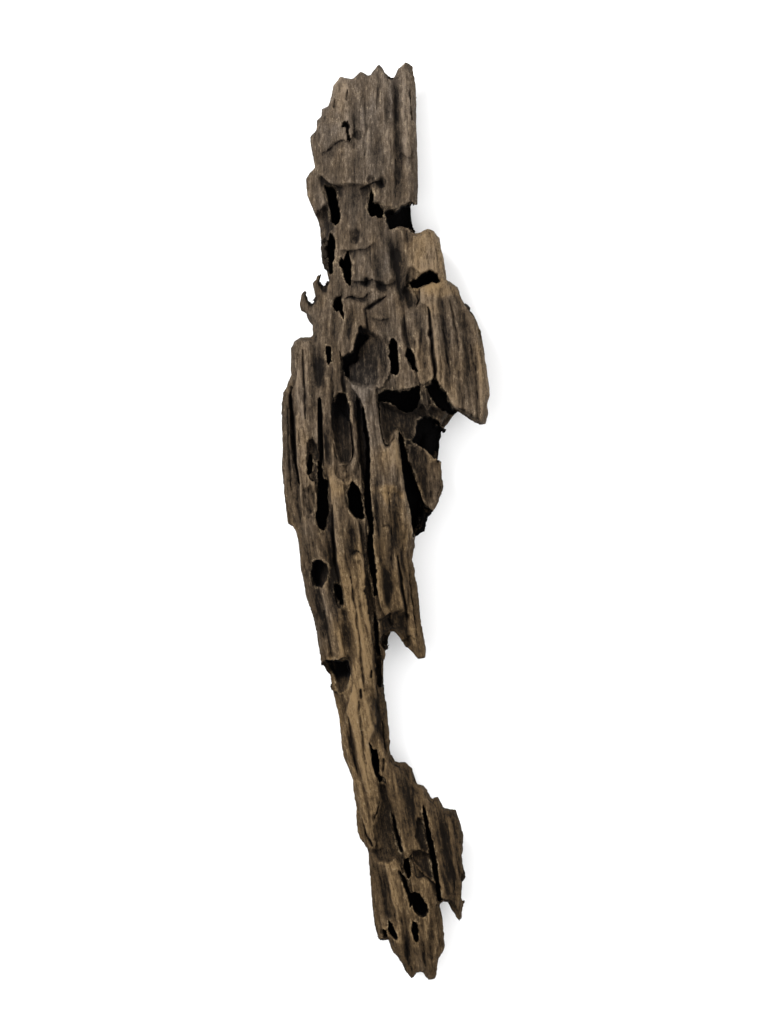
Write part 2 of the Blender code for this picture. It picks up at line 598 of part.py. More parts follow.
def keep_largest(mesh):
    """Drops scraps that a cut has left loose, and the walls of sealed hollows."""
    work = bmesh.new()
    work.from_mesh(mesh)
    unseen = set(work.faces)
    groups = []
    while unseen:
        group = [unseen.pop()]
        for face in group:
            for edge in face.edges:
                for other in edge.link_faces:
                    if other in unseen:
                        unseen.remove(other)
                        group.append(other)
        groups.append(group)
    groups.sort(key=len)
    for group in groups[:-1]:
        bmesh.ops.delete(work, geom=group, context="FACES")
    work.to_mesh(mesh)
    work.free()


def flatten_feet(mesh):
    """Wears the underside flat where it touches the ground."""
    work = bmesh.new()
    work.from_mesh(mesh)
    geometry = [*work.verts, *work.edges, *work.faces]
    found = bmesh.ops.bisect_plane(
        work, geom=geometry, dist=1e-6, plane_co=(0, 0, 0), plane_no=(0, 0, -1), clear_outer=True
    )
    rim = [item for item in found["geom_cut"] if isinstance(item, bmesh.types.BMEdge)]
    bmesh.ops.contextual_create(work, geom=rim)
    work.to_mesh(mesh)
    work.free()


def thinned(obj, triangles):
    """The object with its flat areas in fewer triangles."""
    work = bmesh.new()
    work.from_mesh(obj.data)
    bmesh.ops.triangulate(work, faces=work.faces)
    count = len(work.faces)
    work.to_mesh(obj.data)
    work.free()
    back = obj.vertex_groups.new(name="back")
    for vertex in obj.data.vertices:
        back.add([vertex.index], 0.9 - 0.1 * vertex.normal.z, "REPLACE")
    decimate = obj.modifiers.new("thin", "DECIMATE")
    decimate.ratio = triangles / count
    decimate.vertex_group = "back"
    name = obj.name
    collection = obj.users_collection[0]
    bpy.context.view_layer.update()
    mesh = as_mesh(obj)
    return add_object(name, mesh, collection)


def set_down(mesh):
    """Puts the middle of the piece over the origin, with its lowest point at Z = 0."""
    low = [min(vertex.co[axis] for vertex in mesh.vertices) for axis in range(3)]
    high = [max(vertex.co[axis] for vertex in mesh.vertices) for axis in range(3)]
    middle = Vector(((low[0] + high[0]) / 2, (low[1] + high[1]) / 2, low[2]))
    mesh.transform(Matrix.Translation(-middle))


def wood_material():
    material = bpy.data.materials.new("weathered_wood")
    material.use_nodes = True
    shader = material.node_tree.nodes["Principled BSDF"]
    shader.inputs["Base Color"].default_value = (0.105, 0.078, 0.055, 1)
    shader.inputs["Roughness"].default_value = 0.85
    shader.inputs["Metallic"].default_value = 0
    return material


def build():
    clear_scene()
    shown = bpy.data.collections.new("driftwood")
    cutters = bpy.data.collections.new("cutters")
    for collection in (shown, cutters):
        bpy.context.scene.collection.children.link(collection)

    meshes = [prism("slab", OUTLINE, SLAB_BACK, SLAB_FRONT, shown)]
    meshes += back_strands(shown)
    for name, (top, rise_right, rise_down, outline) in PLATES.items():
        meshes.append(plate(name, top, rise_right, rise_down, outline, shown))
    wood = skinned(joined("driftwood", meshes, shown), WORK_SIZE)

    rim = joined("rim", [prism("rim", OUTLINE, -10, ABOVE, cutters)], cutters)
    rim = skinned(rim, WORK_SIZE)
    wood = skinned(cut(wood, rim, "INTERSECT"), WORK_SIZE)
    round_walls(wood.data)

    spaces = []
    for name, (floor, rise_right, rise_down, flare, outline) in PITS.items():
        spaces.append(pit(name, floor, rise_right, rise_down, flare, outline, cutters))
    x, y, half_width, half_height, half_depth = WORM_HOLE
    radii = (half_width * UNIT / MM, half_height * UNIT / MM, half_depth)
    spaces.append(ellipsoid(x, y, SLAB_FRONT, radii))
    spaces += back_splits(cutters) + side_splits(cutters)
    cutter = skinned(joined("spaces", spaces, cutters), WORK_SIZE)
    wood = cut(wood, cutter)

    give_thickness(wood.data)
    meshes = [wood.data]
    bpy.data.objects.remove(wood)
    for start, end, radius, height in FEET:
        meshes.append(foot(start, end, radius, height, shown))
    wood = skinned(joined("driftwood", meshes, shown), WORK_SIZE)
    roughen(wood.data)
    keep_largest(wood.data)
    wood = thinned(wood, MOST_TRIANGLES)
    flatten_feet(wood.data)
    set_down(wood.data)
    wood.data.materials.append(wood_material())
    wood.data.shade_smooth()
    return wood


build()
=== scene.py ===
# %% [markdown]
# # A piece of driftwood
# The real thing is one length of weathered wood. Water and worms have eaten the soft parts away,
# so that plates, strands and deep hollows are left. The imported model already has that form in
# under twelve thousand triangles. This lesson refines a copy of it: torn hollows, splits and grain
# are pressed into a fine skin, and a wood material reads what that work measured. The same could be
# sculpted by hand, but drawn numbers can be changed one by one and run again.

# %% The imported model
import math
import random

import bmesh
import bpy
import numpy as np
from mathutils import Matrix, Vector, noise
from mathutils.bvhtree import BVHTree


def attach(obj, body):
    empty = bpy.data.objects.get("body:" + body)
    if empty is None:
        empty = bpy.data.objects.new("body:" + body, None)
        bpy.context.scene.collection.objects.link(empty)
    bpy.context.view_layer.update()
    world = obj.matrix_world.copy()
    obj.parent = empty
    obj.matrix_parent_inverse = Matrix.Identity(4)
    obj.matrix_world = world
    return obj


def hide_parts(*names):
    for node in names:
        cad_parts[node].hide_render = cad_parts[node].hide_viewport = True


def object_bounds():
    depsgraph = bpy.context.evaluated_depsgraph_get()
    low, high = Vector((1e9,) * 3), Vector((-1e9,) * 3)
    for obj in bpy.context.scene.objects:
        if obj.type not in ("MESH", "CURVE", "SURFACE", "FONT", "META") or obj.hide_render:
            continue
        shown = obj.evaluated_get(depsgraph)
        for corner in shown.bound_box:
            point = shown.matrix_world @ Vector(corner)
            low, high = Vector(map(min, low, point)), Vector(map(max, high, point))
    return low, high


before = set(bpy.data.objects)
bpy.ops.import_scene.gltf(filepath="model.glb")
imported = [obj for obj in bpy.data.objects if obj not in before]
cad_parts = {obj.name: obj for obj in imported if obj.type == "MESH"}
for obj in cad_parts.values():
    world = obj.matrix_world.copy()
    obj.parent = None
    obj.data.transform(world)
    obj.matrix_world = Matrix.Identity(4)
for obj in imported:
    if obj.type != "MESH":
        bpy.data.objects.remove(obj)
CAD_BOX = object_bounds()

MM = 0.001
print("box of the packed model:", CAD_BOX)

# %% [markdown]
# The wood lies on its back and the camera looks straight down on it. Places on the wood are given
# in a drawing of its front, whose unit is about half a millimetre, with X to the right and Y down.
# Places could be given in metres, but small whole numbers are easier to draw with. Two helpers go
# from the drawing to metres and back. From the top down, the stretches of the wood are called head,
# neck, chest, middle, waist and tail, and the broad plate at the right of the chest is the wing.

# %% The drawing
WOOD_LENGTH = 0.4595
DRAWN_LENGTH = 920
UNIT = WOOD_LENGTH / DRAWN_LENGTH
DRAWING_MIDDLE = (385.5, 521)


def on_wood(x, y):
    """The X and Y in metres of a place in the drawing."""
    return (x - DRAWING_MIDDLE[0]) * UNIT, (DRAWING_MIDDLE[1] - y) * UNIT


def in_drawing(points):
    """The drawing's X and Y of many places in metres."""
    return points[:, 0] / UNIT + DRAWING_MIDDLE[0], DRAWING_MIDDLE[1] - points[:, 1] / UNIT


print("one unit of the drawing is", round(UNIT / MM, 3), "mm")

# %% [markdown]
# The picture shows the wood from straight above. A short lens close by would do, but it makes the
# high middle look too large. A long lens far above keeps the outline true, because every part of
# the wood is then seen from almost straight above. The camera looks down, so it needs no turning.

# %% Camera
PICTURE = (768, 1024)
LENS = 160
SENSOR = 36
MIDDLE_HEIGHT = 0.02
FARTHEST_SEEN = 10

camera = bpy.data.objects.new("camera", bpy.data.cameras.new("camera"))
bpy.context.scene.collection.objects.link(camera)
camera.data.lens = LENS
camera.data.sensor_width = SENSOR
camera.data.clip_end = FARTHEST_SEEN
centre_x, centre_y = on_wood(PICTURE[0] / 2, PICTURE[1] / 2)
distance = PICTURE[1] * UNIT * LENS / SENSOR
camera.location = (centre_x, centre_y, MIDDLE_HEIGHT + distance)
bpy.context.scene.camera = camera
print("camera", round(distance, 3), "m above the wood")

# %% [markdown]
# The wood lies on something, as it would for a photograph. A box or a table would show its edges,
# so the floor is one large plane of white paper. It isn't part of the object.

# %% Floor
FLOOR_REACH = 3
PAPER_WHITE = (0.93, 0.93, 0.93, 1)
PAPER_ROUGHNESS = 0.9

floor_mesh = bpy.data.meshes.new("floor")
floor_work = bmesh.new()
bmesh.ops.create_grid(floor_work, x_segments=1, y_segments=1, size=FLOOR_REACH)
floor_work.to_mesh(floor_mesh)
floor_work.free()
floor = bpy.data.objects.new("floor", floor_mesh)
bpy.context.scene.collection.objects.link(floor)
paper = bpy.data.materials.new("paper")
paper.use_nodes = True
paper_shader = paper.node_tree.nodes["Principled BSDF"]
paper_shader.inputs["Base Color"].default_value = PAPER_WHITE
paper_shader.inputs["Roughness"].default_value = PAPER_ROUGHNESS
floor_mesh.materials.append(paper)
print("floor:", 2 * FLOOR_REACH, "m across")

# %% [markdown]
# One small lamp would leave hard shadows. So the main lamp is large and stands at the upper left,
# low enough to draw the ridges. The rest of the light comes from all sides, so that the floor stays
# white and the wood throws hardly any shadow on it.

# %% Lights
SKY_STRENGTH = 0.55
# Name, place in metres, size in metres and watts.
LAMPS = [
    ("main_lamp", (-0.7, 0.75, 0.95), 0.5, 24),
    ("fill_lamp", (0.9, -0.3, 1.1), 1.2, 11),
    ("floor_lamp", (0, 0, 2.4), 2.5, 34),
]


def light(name, place, size, watts):
    """A square lamp that looks at the middle of the wood."""
    lamp = bpy.data.lights.new(name, "AREA")
    lamp.size = size
    lamp.energy = watts
    obj = bpy.data.objects.new(name, lamp)
    obj.location = place
    obj.rotation_euler = (-Vector(place)).to_track_quat("-Z", "Y").to_euler()
    bpy.context.scene.collection.objects.link(obj)


for lamp_row in LAMPS:
    light(*lamp_row)
world = bpy.data.worlds.new("studio")
world.use_nodes = True
world.node_tree.nodes["Background"].inputs["Color"].default_value = (1, 1, 1, 1)
world.node_tree.nodes["Background"].inputs["Strength"].default_value = SKY_STRENGTH
bpy.context.scene.world = world
bpy.context.scene.view_settings.view_transform = "Standard"
print("lamps:", len(LAMPS))

# %% [markdown]
# All the wood is one mesh. Modifiers change it as a whole, and a few hundred thousand points are
# moved one by one. Loops over points are slow in Python, so their places are read into one numpy
# array, worked on together and written back.

# %% Helpers for a whole mesh
WEIGHT_STEPS = 10


def applied(mesh, kind, weights=None, **settings):
    """The mesh after one modifier, which may read a weight for each point."""
    holder = bpy.data.objects.new("holder", mesh)
    bpy.context.scene.collection.objects.link(holder)
    modifier = holder.modifiers.new("step", kind)
    for name, value in settings.items():
        setattr(modifier, name, value)
    if weights is not None:
        group = holder.vertex_groups.new(name="weights")
        for step in range(WEIGHT_STEPS):
            chosen = np.nonzero((weights * WEIGHT_STEPS).astype(int) == step)[0]
            group.add(chosen.tolist(), (step + 0.5) / WEIGHT_STEPS, "REPLACE")
        modifier.vertex_group = group.name
    bpy.context.view_layer.update()
    evaluated = holder.evaluated_get(bpy.context.evaluated_depsgraph_get())
    result = bpy.data.meshes.new_from_object(evaluated)
    bpy.data.objects.remove(holder)
    bpy.data.meshes.remove(mesh)
    return result


def read_points(mesh):
    """The places of all points, one row each."""
    points = np.empty(len(mesh.vertices) * 3, dtype=np.float32)
    mesh.vertices.foreach_get("co", points)
    return points.reshape(-1, 3).astype(float)


def read_normals(mesh):
    """The way that the skin faces at each point."""
    normals = np.empty(len(mesh.vertices) * 3, dtype=np.float32)
    mesh.vertex_normals.foreach_get("vector", normals)
    return normals.reshape(-1, 3).astype(float)


def write_points(mesh, points):
    """Puts the points in their new places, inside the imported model's box."""
    low, high = CAD_BOX
    points = np.clip(points, np.array(low), np.array(high))
    mesh.vertices.foreach_set("co", points.astype(np.float32).ravel())
    mesh.update()


# %% [markdown]
# Where wood breaks, thin splinters stand out along the edge. They could be pulled out of the skin,
# but a point that is pulled far leaves long thin triangles. So each splinter is a flat cone of its
# own, from a broad root inside the wood to a sharp tip, and the next step melts it into the skin.

# %% Splinters
# Root, tip, width at the root in units and height above the floor in millimetres.
SPLINTERS = [
    ((307, 305), (305, 290), 13, 22),
    ((307, 305), (313, 330), 13, 22),
    ((319, 308), (321, 273), 10, 22),
    ((317, 308), (314, 279), 9, 20),
    ((329, 300), (328, 266), 6, 22),
    ((362, 512), (362, 488), 4, 36),
    ((407, 80), (408, 62), 12, 17),
    ((379, 80), (378, 65), 8, 17),
    ((461, 900), (461, 920), 10, 18),
    ((419, 648), (424, 658), 10, 24),
    ((384, 84), (391, 74), 8, 17),
]
SPLINTER_SIDES = 8
TIP_RADIUS = 0.6 * UNIT


def add_splinter(work, base, tip, width, height):
    """A cone from a broad root to a sharp tip, as a closed piece of its own."""
    start = Vector((*on_wood(*base), height * MM))
    run = Vector((*on_wood(*tip), height * MM)) - start
    turn = run.to_track_quat("Z", "X").to_matrix().to_4x4()
    middle = Matrix.Translation(start + run / 2)
    bmesh.ops.create_cone(
        work,
        cap_ends=True,
        segments=SPLINTER_SIDES,
        radius1=width * UNIT / 2,
        radius2=TIP_RADIUS,
        depth=run.length,
        matrix=middle @ turn,
    )


print("splinters:", len(SPLINTERS))

# %% [markdown]
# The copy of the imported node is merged, because its triangles come loose, and gets its splinters.
# A voxel remesh then gives it an even skin of small squares. Cutting the details out with booleans
# would be the other way. Moving the points of a fine skin is simpler and can't leave it open.

# %% A fine skin
SKIN_SIZE = 0.52 * MM
MERGE_DISTANCE = 1e-6


def fine_copy(source, size):
    """A merged and evenly meshed copy of a node, with its splinters."""
    work = bmesh.new()
    work.from_mesh(source.data)
    bmesh.ops.remove_doubles(work, verts=work.verts, dist=MERGE_DISTANCE)
    for splinter in SPLINTERS:
        add_splinter(work, *splinter)
    mesh = bpy.data.meshes.new("driftwood_fine")
    work.to_mesh(mesh)
    work.free()
    return applied(mesh, "REMESH", mode="VOXEL", voxel_size=size)


wood_mesh = fine_copy(bpy.data.objects["driftwood"], SKIN_SIZE)
print("fine skin:", len(wood_mesh.vertices), "points")

# %% [markdown]
# Grain runs along the piece and slants with it towards the narrow end. It could be read off a curve
# down the middle. A table is shorter: it gives how far the grain has moved to the right at each
# height of the drawing, so one number names the same strand of wood all the way down.

# %% The run of the grain
GRAIN_SHIFT = [(61, 300, 400, 500, 600, 700, 800, 900, 981), (0, 0, 4, 12, 27, 47, 67, 85, 98)]


def grain_places(points):
    """Across the grain, along it and in depth, in millimetres, for many points."""
    x, y = in_drawing(points)
    across = x - np.interp(y, *GRAIN_SHIFT)
    return np.column_stack((across * UNIT / MM, -y * UNIT / MM, points[:, 2] / MM))


def noise_at(places, stretch, seed):
    """Smooth noise from -1 to 1, stretched by a size in millimetres each way."""
    scaled = places / np.array(stretch) + seed
    return np.array([noise.noise(place) for place in scaled.tolist()])


print("the grain moves", GRAIN_SHIFT[1][-1], "units to the right on its way down")

# %% [markdown]
# Some steps need to know where the front and the back lie at each place. Rays would tell it, one
# place at a time. A map is quicker: it has one cell for each unit of the drawing, and each cell
# keeps the highest point of the wood in it. Cells without wood stay empty.

# %% Cells of a map
MAP_CORNER = (250, 30)
MAP_SHAPE = (985, 275)


def map_cells(points):
    """The map's row and column of many points."""
    x, y = in_drawing(points)
    columns = np.clip(x - MAP_CORNER[0], 0, MAP_SHAPE[1] - 1).astype(int)
    rows = np.clip(y - MAP_CORNER[1], 0, MAP_SHAPE[0] - 1).astype(int)
    return rows, columns


def spread(heights, reach):
    """Each cell takes the highest value within reach of it, in a square."""
    for axis in (0, 1):
        found = heights
        for step in range(1, reach + 1):
            found = np.maximum(found, np.roll(heights, step, axis))
            found = np.maximum(found, np.roll(heights, -step, axis))
        heights = found
    return heights


def lowest_within(heights, reach):
    """Each cell takes the lowest value within reach of it, among the cells that hold wood."""
    return -spread(np.where(np.isfinite(heights), -heights, -np.inf), reach)


def top_map(points):
    """The highest point in millimetres in each cell, or minus infinity where there is no wood."""
    heights = np.full(MAP_SHAPE, -np.inf)
    np.maximum.at(heights, map_cells(points), points[:, 2] / MM)
    filled = spread(heights, 1)
    return np.where(np.isinf(heights) & (spread(-filled, 1) < np.inf), filled, heights)


print("cells of a map:", MAP_SHAPE[0] * MAP_SHAPE[1])

# %% [markdown]
# How deep is a hollow? That needs the level of the wood around it. A plain average would sag into
# the hollow. So the highest places are spread out and drawn in again, and then softened, as if a
# cloth were laid over the wood. All averages leave the empty cells out.

# %% Averages on a map
BRIDGED = 30
LEVEL_SOFTNESS = 8
BLUR_REACH = 3
LEAST_SHARE = 1e-9


def blurred(values, radius):
    """The map with each cell spread over its surroundings."""
    steps = np.arange(-BLUR_REACH * radius, BLUR_REACH * radius + 1)
    weights = np.exp(-0.5 * (steps / radius) ** 2)
    weights = weights / weights.sum()
    for axis in (0, 1):
        values = sum(weight * np.roll(values, step, axis) for step, weight in zip(steps, weights))
    return values


def averaged(heights, radius):
    """A soft average over the cells that hold wood."""
    wood = np.isfinite(heights)
    share = np.maximum(blurred(wood * 1.0, radius), LEAST_SHARE)
    return blurred(np.where(wood, heights, 0), radius) / share


def level_over(heights):
    """A smooth sheet laid over the wood, which bridges hollows up to twice BRIDGED wide."""
    return averaged(lowest_within(spread(heights, BRIDGED), BRIDGED), LEVEL_SOFTNESS)


print("the level bridges hollows up to", 2 * BRIDGED, "units wide")

# %% [markdown]
# The front's map takes the points that face up, and the back's map those that face down, so that
# neither is led astray by a side wall. The share of wood around a cell tells how near it is to the
# outline, where the wood is thin and may be worked only gently.

# %% Maps of the front and the back
FACING_UP = 0.2
FACING_DOWN = -0.4
COVER_SOFTNESS = 4
# The cover at which the border of the front begins, and how much more makes it full.
BORDER_COVER = (0.92, 0.07)
BACK_MARGIN = 0.7


def front_map(mesh):
    """The front's height in each cell, from the points that face up where a cell has any."""
    points = read_points(mesh)
    facing_up = top_map(points[read_normals(mesh)[:, 2] > FACING_UP])
    return np.where(np.isfinite(facing_up), facing_up, top_map(points))


def back_map(mesh):
    """The back's height in each cell, a little rounded off, from the points that face down."""
    points = read_points(mesh)
    facing_down = points[read_normals(mesh)[:, 2] < FACING_DOWN]
    lowest = -top_map(facing_down * [1, 1, -1])
    return averaged(spread(np.where(np.isfinite(lowest), lowest, -np.inf), 1), 2)


front = front_map(wood_mesh)
back = back_map(wood_mesh)
cover = blurred(np.isfinite(front) * 1.0, COVER_SOFTNESS)
border = np.clip((cover - BORDER_COVER[0]) / BORDER_COVER[1], 0, 1)


def share_on_front(points):
    """1 for points of the front, also in its hollows, and 0 near the outline and at the back."""
    cells = map_cells(points)
    over_back = np.clip(points[:, 2] / MM - back[cells] - BACK_MARGIN, 0, 1)
    return over_back * border[cells]


print("wood covers", int(np.isfinite(front).sum()), "cells of the map")

# %% [markdown]
# The dark hollows are where worms and water ate deepest. Each is drawn by its torn rim, with a
# depth. Seen from above the rims are all that shows of them, so drawing the rims gives the likeness
# that a scatter of random holes wouldn't. These are the ones in the head and the neck.

# %% Hollows of the head and the neck
# Each row: depth in millimetres, how much less deep for each unit to the right and down, how many
# units it takes from the rim to the full depth, and the rim. The deep ones are painted black as shade.
HOLLOWS = [
    (7, 0, 0, 1.5, [(343, 125), (345, 123), (348, 123), (349, 128), (349, 136), (350, 143),
        (348, 141), (347, 134), (346, 127), (343, 128)]),
    (26, 0, 0, 1.5, [(325, 187), (330, 188), (335, 190), (336, 197), (338, 205), (340, 212),
        (340, 220), (336, 226), (333, 222), (331, 214), (330, 205), (328, 197)]),
    (4.5, 0, 0.1, 3, [(317, 217), (321, 212), (323, 208), (327, 206), (330, 212), (333, 221),
        (335, 227), (332, 233), (326, 245), (322, 240), (320, 228)]),
    (22, 0, 0, 1.5, [(331, 234), (334, 238), (335, 246), (334, 258), (332, 266), (331, 274),
        (329, 269), (327, 262), (327, 256), (327, 250), (328, 242)]),
    (24, 0, 0, 1.5, [(348, 253), (350, 260), (351, 268), (351, 276), (350, 286), (347, 283),
        (345, 277), (344, 271), (341, 268), (339, 263), (341, 260), (344, 262), (346, 256)]),
    (22, 0, 0, 1.5, [(335, 303), (337, 299), (341, 298), (342, 306), (343, 313), (344, 320),
        (342, 317), (340, 311), (337, 312), (334, 308)]),
    (26, 0, 0, 1.5, [(371, 191), (373, 196), (372, 203), (375, 205), (379, 206), (382, 211),
        (382, 218), (379, 219), (376, 216), (371, 217), (369, 212), (368, 206), (370, 200)]),
    (26, 0, 0, 1.5, [(385, 213), (389, 211), (392, 211), (395, 213), (398, 212), (401, 207),
        (405, 206), (409, 205), (415, 207), (417, 215), (419, 222), (421, 230), (412, 230),
        (405, 228), (399, 226), (396, 228), (394, 230), (389, 229), (387, 221)]),
    (20, 0, 0, 1.5, [(409, 285), (413, 281), (417, 281), (420, 277), (424, 274), (429, 272),
        (433, 273), (437, 276), (439, 283), (436, 284), (432, 282), (428, 284), (423, 286),
        (418, 289), (413, 289)]),
    (4, 0, 0, 5, [(404, 288), (410, 290), (414, 296), (417, 303), (414, 309), (409, 310),
        (405, 303), (402, 294)]),
]
print("hollows drawn:", len(HOLLOWS))

# %% [markdown]
# Below the neck the wood is broken into plates. The pits between them are wide, some with a sloping
# floor and a black crack along one side, and the deepest lie under the wing at the right. A floor
# could be a tilted piece of its own. Here the depth simply falls off to one side.

# %% Hollows of the chest and the wing
HOLLOWS += [
    (22, 0, 0, 1.5, [(393, 340), (396, 344), (397, 352), (398, 362), (398, 372), (396, 376),
        (392, 374), (391, 366), (390, 356), (389, 346), (391, 341)]),
    (18, 0, 0, 1.5, [(408, 350), (412, 354), (414, 360), (415, 367), (417, 373), (413, 371),
        (411, 365), (408, 361), (406, 356)]),
    (7.5, 0.22, 0.1, 5, [(360, 328), (370, 332), (382, 338), (388, 350), (390, 372), (382, 388),
        (366, 390), (350, 384), (344, 372), (344, 358), (354, 352), (357, 340)]),
    (16, 0, 0, 1.5, [(359, 334), (366, 336), (369, 339), (364, 344), (360, 350), (358, 357),
        (358, 362), (353, 364), (349, 367), (349, 379), (346, 377), (343, 369), (343, 359),
        (348, 357), (354, 353), (355, 346), (357, 340)]),
    (18, 0, 0, 1.5, [(327, 348), (330, 348), (331, 355), (331, 362), (329, 365), (328, 358),
        (327, 353)]),
    (7.5, 0, 0.14, 4, [(380, 402), (395, 408), (405, 413), (414, 411), (420, 402), (428, 412),
        (432, 420), (420, 419), (416, 428), (412, 440), (405, 440), (399, 430), (395, 430),
        (390, 446), (385, 444), (381, 425)]),
    (26, 0, 0, 1.5, [(378, 396), (383, 393), (387, 391), (393, 392), (399, 393), (405, 392),
        (411, 392), (411, 390), (416, 388), (419, 387), (419, 395), (419, 402), (417, 408),
        (412, 412), (406, 413), (400, 411), (396, 407), (391, 403), (385, 402), (379, 402)]),
    (7.5, 0, 0.2, 3, [(430, 406), (440, 410), (457, 413), (451, 424), (444, 433), (437, 428),
        (431, 420), (427, 412)]),
    (24, 0, 0, 1.5, [(426, 388), (431, 385), (433, 380), (437, 383), (440, 390), (445, 394),
        (447, 402), (452, 409), (457, 414), (450, 414), (444, 411), (439, 409), (435, 404),
        (432, 398), (429, 393)]),
    (26, 0, 0, 1.5, [(418, 421), (424, 417), (431, 418), (437, 422), (442, 428), (449, 434),
        (449, 463), (436, 459), (430, 454), (425, 449), (419, 446), (412, 441), (416, 434),
        (416, 427)]),
    (4, 0, 0, 6, [(408, 446), (418, 446), (430, 454), (438, 466), (439, 490), (434, 500),
        (428, 506), (422, 498), (417, 484), (410, 470)]),
    (24, 0, 0, 1.5, [(399, 433), (402, 437), (404, 448), (407, 458), (411, 470), (415, 480),
        (418, 488), (420, 496), (423, 503), (425, 508), (432, 512), (431, 521), (430, 537),
        (422, 537), (414, 536), (412, 522), (410, 508), (406, 494), (404, 480), (402, 465),
        (400, 450)]),
]
print("hollows drawn:", len(HOLLOWS))

# %% [markdown]
# In the broad middle the hollows are long slots between strands. Where a slot is soft and shallow
# with a black crack inside it, it is drawn twice: a wide row with a slow fall from its rim, and a
# narrow deep one in it.

# %% Hollows of the middle
HOLLOWS += [
    (7, 0, 0, 2.5, [(309, 441), (313, 439), (318, 447), (320, 460), (320, 478), (317, 483),
        (313, 478), (309, 470), (308, 455)]),
    (14, 0, 0, 1, [(309, 456), (312, 455), (313, 463), (312, 473), (309, 474), (308, 466)]),
    (22, 0, 0, 1.5, [(319, 462), (322, 464), (324, 480), (328, 481), (328, 492), (329, 505),
        (328, 514), (326, 518), (326, 526), (324, 530), (320, 528), (318, 523), (317, 515),
        (318, 500), (319, 490)]),
    (2.5, 0, 0, 3, [(303, 490), (312, 486), (317, 497), (317, 512), (310, 514), (304, 508)]),
    (9, 0, 0.1, 4, [(332, 403), (349, 405), (350, 430), (352, 452), (350, 465), (340, 465),
        (336, 450), (333, 430)]),
    (14, 0, 0, 2, [(337, 396), (341, 394), (346, 396), (348, 402), (349, 410), (350, 422),
        (344, 416), (339, 411), (336, 404)]),
    (9, 0, 0, 2.5, [(356, 398), (360, 400), (363, 412), (367, 432), (369, 450), (369, 482),
        (364, 484), (361, 470), (359, 455), (358, 440), (357, 425)]),
    (15, 0, 0, 1.5, [(363, 408), (366, 424), (369, 440), (370, 460), (370, 490), (371, 505),
        (373, 520), (373, 534), (371, 532), (368, 520), (365, 505), (365, 486), (367, 465),
        (366, 445), (364, 425)]),
    (26, 0, 0, 1.5, [(352, 482), (355, 484), (358, 488), (361, 493), (361, 500), (362, 504),
        (363, 512), (364, 516), (362, 519), (358, 518), (354, 515), (351, 510), (349, 503),
        (348, 494), (350, 487)]),
    (15, 0, 0, 1.5, [(369, 532), (372, 534), (373, 548), (375, 562), (376, 580), (377, 594),
        (375, 596), (373, 584), (371, 570), (369, 560), (368, 545)]),
    (7, 0, 0, 2, [(366, 575), (370, 580), (373, 600), (377, 620), (379, 640), (380, 660),
        (381, 685), (378, 684), (376, 665), (374, 645), (371, 625), (368, 608), (365, 590)]),
    (13, 0, 0, 1, [(374, 612), (377, 622), (378, 640), (379, 655), (377, 650), (375, 635)]),
    (11, 0.5, 0.1, 2, [(313, 563), (317, 560), (322, 560), (327, 565), (328, 573), (326, 580),
        (322, 586), (318, 586), (314, 580), (312, 572)]),
    (18, 0, 0, 1.5, [(335, 585), (338, 584), (341, 588), (343, 594), (343, 604), (341, 603),
        (338, 598), (335, 592)]),
    (4.5, 0, 0, 4, [(391, 612), (397, 610), (401, 612), (405, 610), (409, 616), (408, 635),
        (404, 640), (398, 636), (394, 628), (391, 622)]),
    (12, -0.15, 0.45, 3, [(327, 661), (334, 660), (341, 661), (348, 660), (350, 672), (349, 680),
        (345, 690), (340, 692), (336, 685), (334, 676), (331, 668)]),
]
print("hollows drawn:", len(HOLLOWS))

# %% [markdown]
# The narrow tail has cracks that run with the grain, a few round worm holes, and shallow steps
# where a plate has come off. They are rows of the same table, so nothing new is needed for them.

# %% Hollows of the tail
HOLLOWS += [
    (16, 0, 0, 1.5, [(369, 742), (372, 748), (377, 750), (378, 760), (378, 773), (382, 778),
        (380, 781), (376, 773), (373, 765), (372, 754)]),
    (6, -0.08, 0, 4, [(379, 780), (387, 785), (391, 800), (396, 820), (400, 840), (405, 858),
        (402, 866), (396, 858), (388, 862), (378, 860), (372, 850), (379, 846), (375, 838),
        (374, 825), (378, 812), (381, 800), (379, 790)]),
    (11, 0, 0, 1, [(392, 812), (395, 820), (398, 832), (401, 844), (403, 851), (401, 852),
        (398, 844), (395, 832)]),
    (20, 0, 0, 1.5, [(405, 859), (408, 858), (410, 865), (411, 874), (408, 877), (405, 870),
        (404, 864)]),
    (14, 0, 0, 1, [(401, 872), (404, 877), (407, 885), (410, 893), (412, 900), (410, 905),
        (408, 896), (405, 886), (402, 878)]),
    (22, 0, 0, 1.5, [(410, 894), (414, 892), (419, 893), (423, 898), (426, 905), (427, 912),
        (424, 916), (419, 914), (414, 909), (411, 902)]),
    (18, 0, 0, 1.5, [(412, 921), (415, 922), (417, 928), (418, 936), (417, 941), (414, 938),
        (412, 930)]),
    (12, 0, 0, 1.5, [(389, 921), (392, 925), (395, 932), (397, 939), (393, 937), (389, 930)]),
    (12, 0, 0, 1, [(383, 930), (386, 931), (386, 937), (383, 937)]),
    (5, 0, 0, 2.5, [(418, 817), (425, 818), (428, 825), (429, 840), (428, 850), (424, 852),
        (419, 846), (416, 835), (416, 822)]),
    (6, 0, 0.15, 3, [(412, 850), (420, 849), (428, 852), (433, 855), (436, 870), (436, 882),
        (428, 876), (420, 868), (413, 860)]),
    (16, 0, 0, 1, [(423, 806), (425, 812), (428, 822), (431, 836), (434, 850), (437, 866),
        (439, 885), (441, 900), (438, 900), (436, 885), (433, 868), (430, 850), (427, 832),
        (424, 818)]),
]
print("hollows drawn:", len(HOLLOWS))

